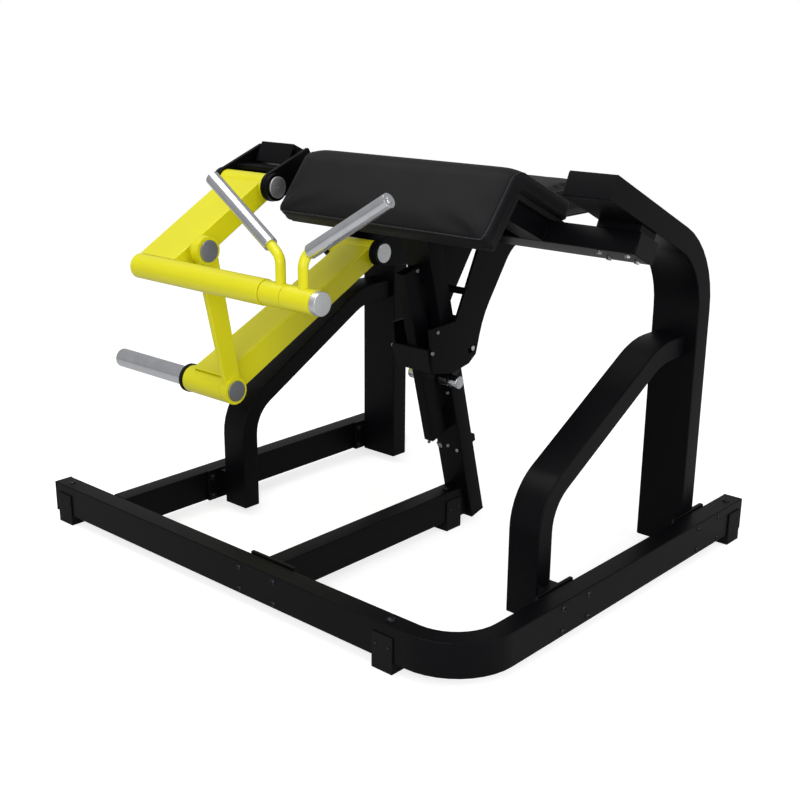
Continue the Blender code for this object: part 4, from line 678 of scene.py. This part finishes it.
def stuffed(name, width, length, thick, corner, edge, swell):
    """A flat cushion from 0 to its length along Y and from 0 to its thickness in Z, filled like foam."""
    solid = bmesh.new()
    bmesh.ops.create_cube(solid, size=1.0)
    slack = swell
    start = Matrix.Translation((0.0, length / 2, (thick - slack) / 2))
    solid.transform(start @ Matrix.Diagonal((width - slack, length - slack, thick - slack, 1.0)))
    upright = [e for e in solid.edges if abs(e.verts[0].co.z - e.verts[1].co.z) > thick / 2]
    bmesh.ops.bevel(solid, geom=upright, offset=corner, segments=6, profile=0.5, affect="EDGES")
    rim = [e for e in solid.edges if e.is_manifold and e.calc_face_angle() > math.radians(60.0)]
    bmesh.ops.bevel(solid, geom=rim, offset=edge, segments=4, profile=0.5, affect="EDGES")
    piece = new_piece(name, solid, black_vinyl)
    skin = piece.modifiers.new("skin", "REMESH")
    skin.mode = "VOXEL"
    skin.voxel_size = VOXEL
    even = piece.modifiers.new("even", "SMOOTH")
    even.factor = 0.5
    even.iterations = 4
    plain(piece)
    piece.data.materials.clear()
    piece.data.materials.append(black_vinyl)
    rest = [vertex.co.copy() for vertex in piece.data.vertices]
    held = piece.vertex_groups.new(name="held")
    held.add([i for i, place in enumerate(rest) if place.z < thick / 5], 1.0, "REPLACE")
    filling = piece.modifiers.new("filling", "CLOTH")
    filling.settings.use_pressure = True
    filling.settings.uniform_pressure_force = FILL_PRESSURE
    filling.settings.effector_weights.gravity = 0.0
    filling.settings.vertex_group_mass = "held"
    for step in range(1, FILL_STEPS + 1):
        scene.frame_set(step)
    ready = piece.evaluated_get(bpy.context.evaluated_depsgraph_get())
    moved = [vertex.co.copy() for vertex in ready.data.vertices]
    piece.modifiers.clear()
    scene.frame_set(1)
    for vertex, before, after in zip(piece.data.vertices, rest, moved):
        shift = after - before
        vertex.co = before + shift * min(1.0, swell / max(shift.length, 0.000001))
    return piece


def over_ridge(place):
    """Bends a place on the flat arm cushion over the ridge of the arm pad's board."""
    x, along, out = place
    arc_run = (FRONT_SLOPE + ARM_TILT) * (RIDGE_INNER + FOAM / 2)
    turn = min(max((along - FRONT_RUN) / arc_run, 0.0), 1.0) * (FRONT_SLOPE + ARM_TILT)
    lean = FRONT_SLOPE - turn
    outward = Vector((-math.sin(lean), math.cos(lean)))
    onward = Vector((math.cos(lean), math.sin(lean)))
    run = min(along - FRONT_RUN, 0.0) + max(along - FRONT_RUN - arc_run, 0.0)
    flat = RIDGE_CENTRE + outward * (RIDGE_INNER + out) + onward * run
    return Vector((x, flat.x, flat.y))


def rim_path(width, length, corner, height, step=0.006):
    """A closed line round the face of a flat cushion, near its edge."""
    half_x, half_y = width / 2 - corner, length / 2 - corner
    path = []
    for index, (sx, sy) in enumerate(((1, -1), (1, 1), (-1, 1), (-1, -1))):
        start = -math.pi / 2 + index * math.pi / 2
        for turn in range(9):
            angle = start + turn * math.pi / 16
            path.append(Vector((sx * half_x + corner * math.cos(angle),
                                length / 2 + sy * half_y + corner * math.sin(angle), height)))
    finer = []
    for here, after in zip(path, path[1:] + path[:1]):
        parts = max(1, round((after - here).length / step))
        finer.extend(here.lerp(after, part / parts) for part in range(parts))
    return finer


def laid_on(piece, path):
    """The places on a cushion's skin that lie nearest to a line."""
    skin = bmesh.new()
    skin.from_mesh(piece.data)
    nearest = BVHTree.FromBMesh(skin)
    skin.free()
    return [nearest.find_nearest(place)[0] for place in path]


def piping_tree():
    """A round cord laid along a closed line, as upholsterers pipe a seam."""
    tree = bpy.data.node_groups.new("piping", "GeometryNodeTree")
    for name, kind in (("Line", "Geometry"), ("Radius", "Float"), ("Finish", "Material")):
        tree.interface.new_socket(name, in_out="INPUT", socket_type="NodeSocket" + kind)
    tree.interface.new_socket("Cord", in_out="OUTPUT", socket_type="NodeSocketGeometry")
    given = add(tree, "NodeGroupInput").outputs
    line = add(tree, "GeometryNodeMeshToCurve", {"Mesh": given["Line"]})
    ring = add(tree, "GeometryNodeCurvePrimitiveCircle", {"Resolution": 10, "Radius": given["Radius"]})
    cord = add(tree, "GeometryNodeCurveToMesh", {"Curve": line.outputs[0], "Profile Curve": ring.outputs[0]})
    soft = add(tree, "GeometryNodeSetShadeSmooth", {"Geometry": cord.outputs[0]})
    real = add(tree, "GeometryNodeRealizeInstances", {"Geometry": soft.outputs[0]})
    painted = add(tree, "GeometryNodeSetMaterial", {"Geometry": real.outputs[0], "Material": given["Finish"]})
    add(tree, "NodeGroupOutput", {"Cord": painted.outputs[0]})
    return tree


piping = piping_tree()
piping_look = moulded("glossy_vinyl_piping", "26262a", 0.28, 0.002, 0.05)


def piped(name, path, body):
    """Pipes a seam along a closed path."""
    mesh = bpy.data.meshes.new(name)
    mesh.from_pydata(path, [(i, (i + 1) % len(path)) for i in range(len(path))], [])
    piece = bpy.data.objects.new(name, mesh)
    scene.collection.objects.link(piece)
    cord = piece.modifiers.new("cord", "NODES")
    cord.node_group = piping
    given = {"Radius": PIPING, "Finish": piping_look}
    for item in piping.interface.items_tree:
        if item.in_out == "INPUT" and item.name in given:
            cord[item.identifier] = given[item.name]
    solid = bmesh.new()
    solid.from_mesh(plain(piece).data)
    bmesh.ops.recalc_face_normals(solid, faces=solid.faces)
    solid.to_mesh(piece.data)
    solid.free()
    return keep(piece, body, "black_vinyl")


def upholstered(piece, bend, body, node):
    """Bends a filled cushion into place and keeps it for its plain solid."""
    for vertex in piece.data.vertices:
        vertex.co = bend(vertex.co)
    piece.data.shade_smooth()
    finer = piece.modifiers.new("finer", "SUBSURF")
    finer.levels = finer.render_levels = 1
    keep(piece, body, "black_vinyl", node)
    return piece


pad_run = FRONT_RUN + REAR_RUN + (FRONT_SLOPE + ARM_TILT) * (RIDGE_INNER + FOAM / 2)
arm_cushion = stuffed("arm_cushion", PAD_WIDTH, pad_run, FOAM, PAD_CORNER, PAD_ROUND, PAD_SWELL)
rim = laid_on(arm_cushion, rim_path(PAD_WIDTH - PAD_ROUND, pad_run - PAD_ROUND,
                                    PAD_CORNER - PAD_ROUND / 2, FOAM))
upholstered(arm_cushion, over_ridge, "frame", "arm_pad")
piped("arm_cushion_piping", [over_ridge(place) for place in rim], "frame")


# The board. A plywood sheet, stained black and cut to the cushion, that is folded at the ridge.
def stained_wood(name, code):
    """Black stained plywood: a dull open grain that runs across the machine."""
    look, place = new_look(name, {"Specular IOR Level": 0.2})
    tree = look.node_tree
    long = add(tree, "ShaderNodeMapping", {"Vector": place, "Scale": (3.0, 60.0, 60.0)})
    grain = add(tree, "ShaderNodeTexNoise", {"Vector": long.outputs[0], "Scale": 2.0, "Detail": 6.0,
                                             "Distortion": 0.6})
    base = colour(code)
    pale = tuple(part * 1.8 for part in base[:3]) + (1.0,)
    tint = add(tree, "ShaderNodeMix", {"Factor": grain.outputs["Fac"], 6: base, 7: pale}, data_type="RGBA")
    rough = add(tree, "ShaderNodeMapRange", {"Value": grain.outputs["Fac"], "To Min": 0.58, "To Max": 0.76})
    relief = add(tree, "ShaderNodeBump", {"Height": grain.outputs["Fac"], "Strength": 0.2,
                                          "Distance": 0.0005})
    return finished(look, tint.outputs[2], rough.outputs[0], relief.outputs[0])


BOARD_EDGE = 0.0010
coated("arm_pad_board", stained_wood("black_stained_plywood", "111011"), "stained_board", BOARD_EDGE)


# The seat cushion. A thicker block of foam in the same vinyl, with a front edge that falls away
# under the thighs.
seat_low, seat_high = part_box("seat_cushion")
SEAT_CORNER = 0.030
SEAT_ROUND = 0.014
SEAT_SWELL = 0.007
SEAT_FALL = 0.012
seat_size = seat_high - seat_low


def on_tray(place):
    """Moves a place on the flat seat cushion onto its tray and lets its front edge fall away."""
    front = max(0.0, 1.0 - place.y / (seat_size.y / 2))
    drop = SEAT_FALL * front * front * place.z / seat_size.z
    return Vector((place.x, seat_low.y + place.y, seat_low.z + place.z - drop))


seat_foam = stuffed("seat_foam", seat_size.x, seat_size.y, seat_size.z, SEAT_CORNER, SEAT_ROUND, SEAT_SWELL)
rim = laid_on(seat_foam, rim_path(seat_size.x - SEAT_ROUND, seat_size.y - SEAT_ROUND,
                                  SEAT_CORNER - SEAT_ROUND / 2, seat_size.z))
upholstered(seat_foam, on_tray, "seat_carriage", "seat_cushion")
piped("seat_piping", [on_tray(place) for place in rim], "seat_carriage")
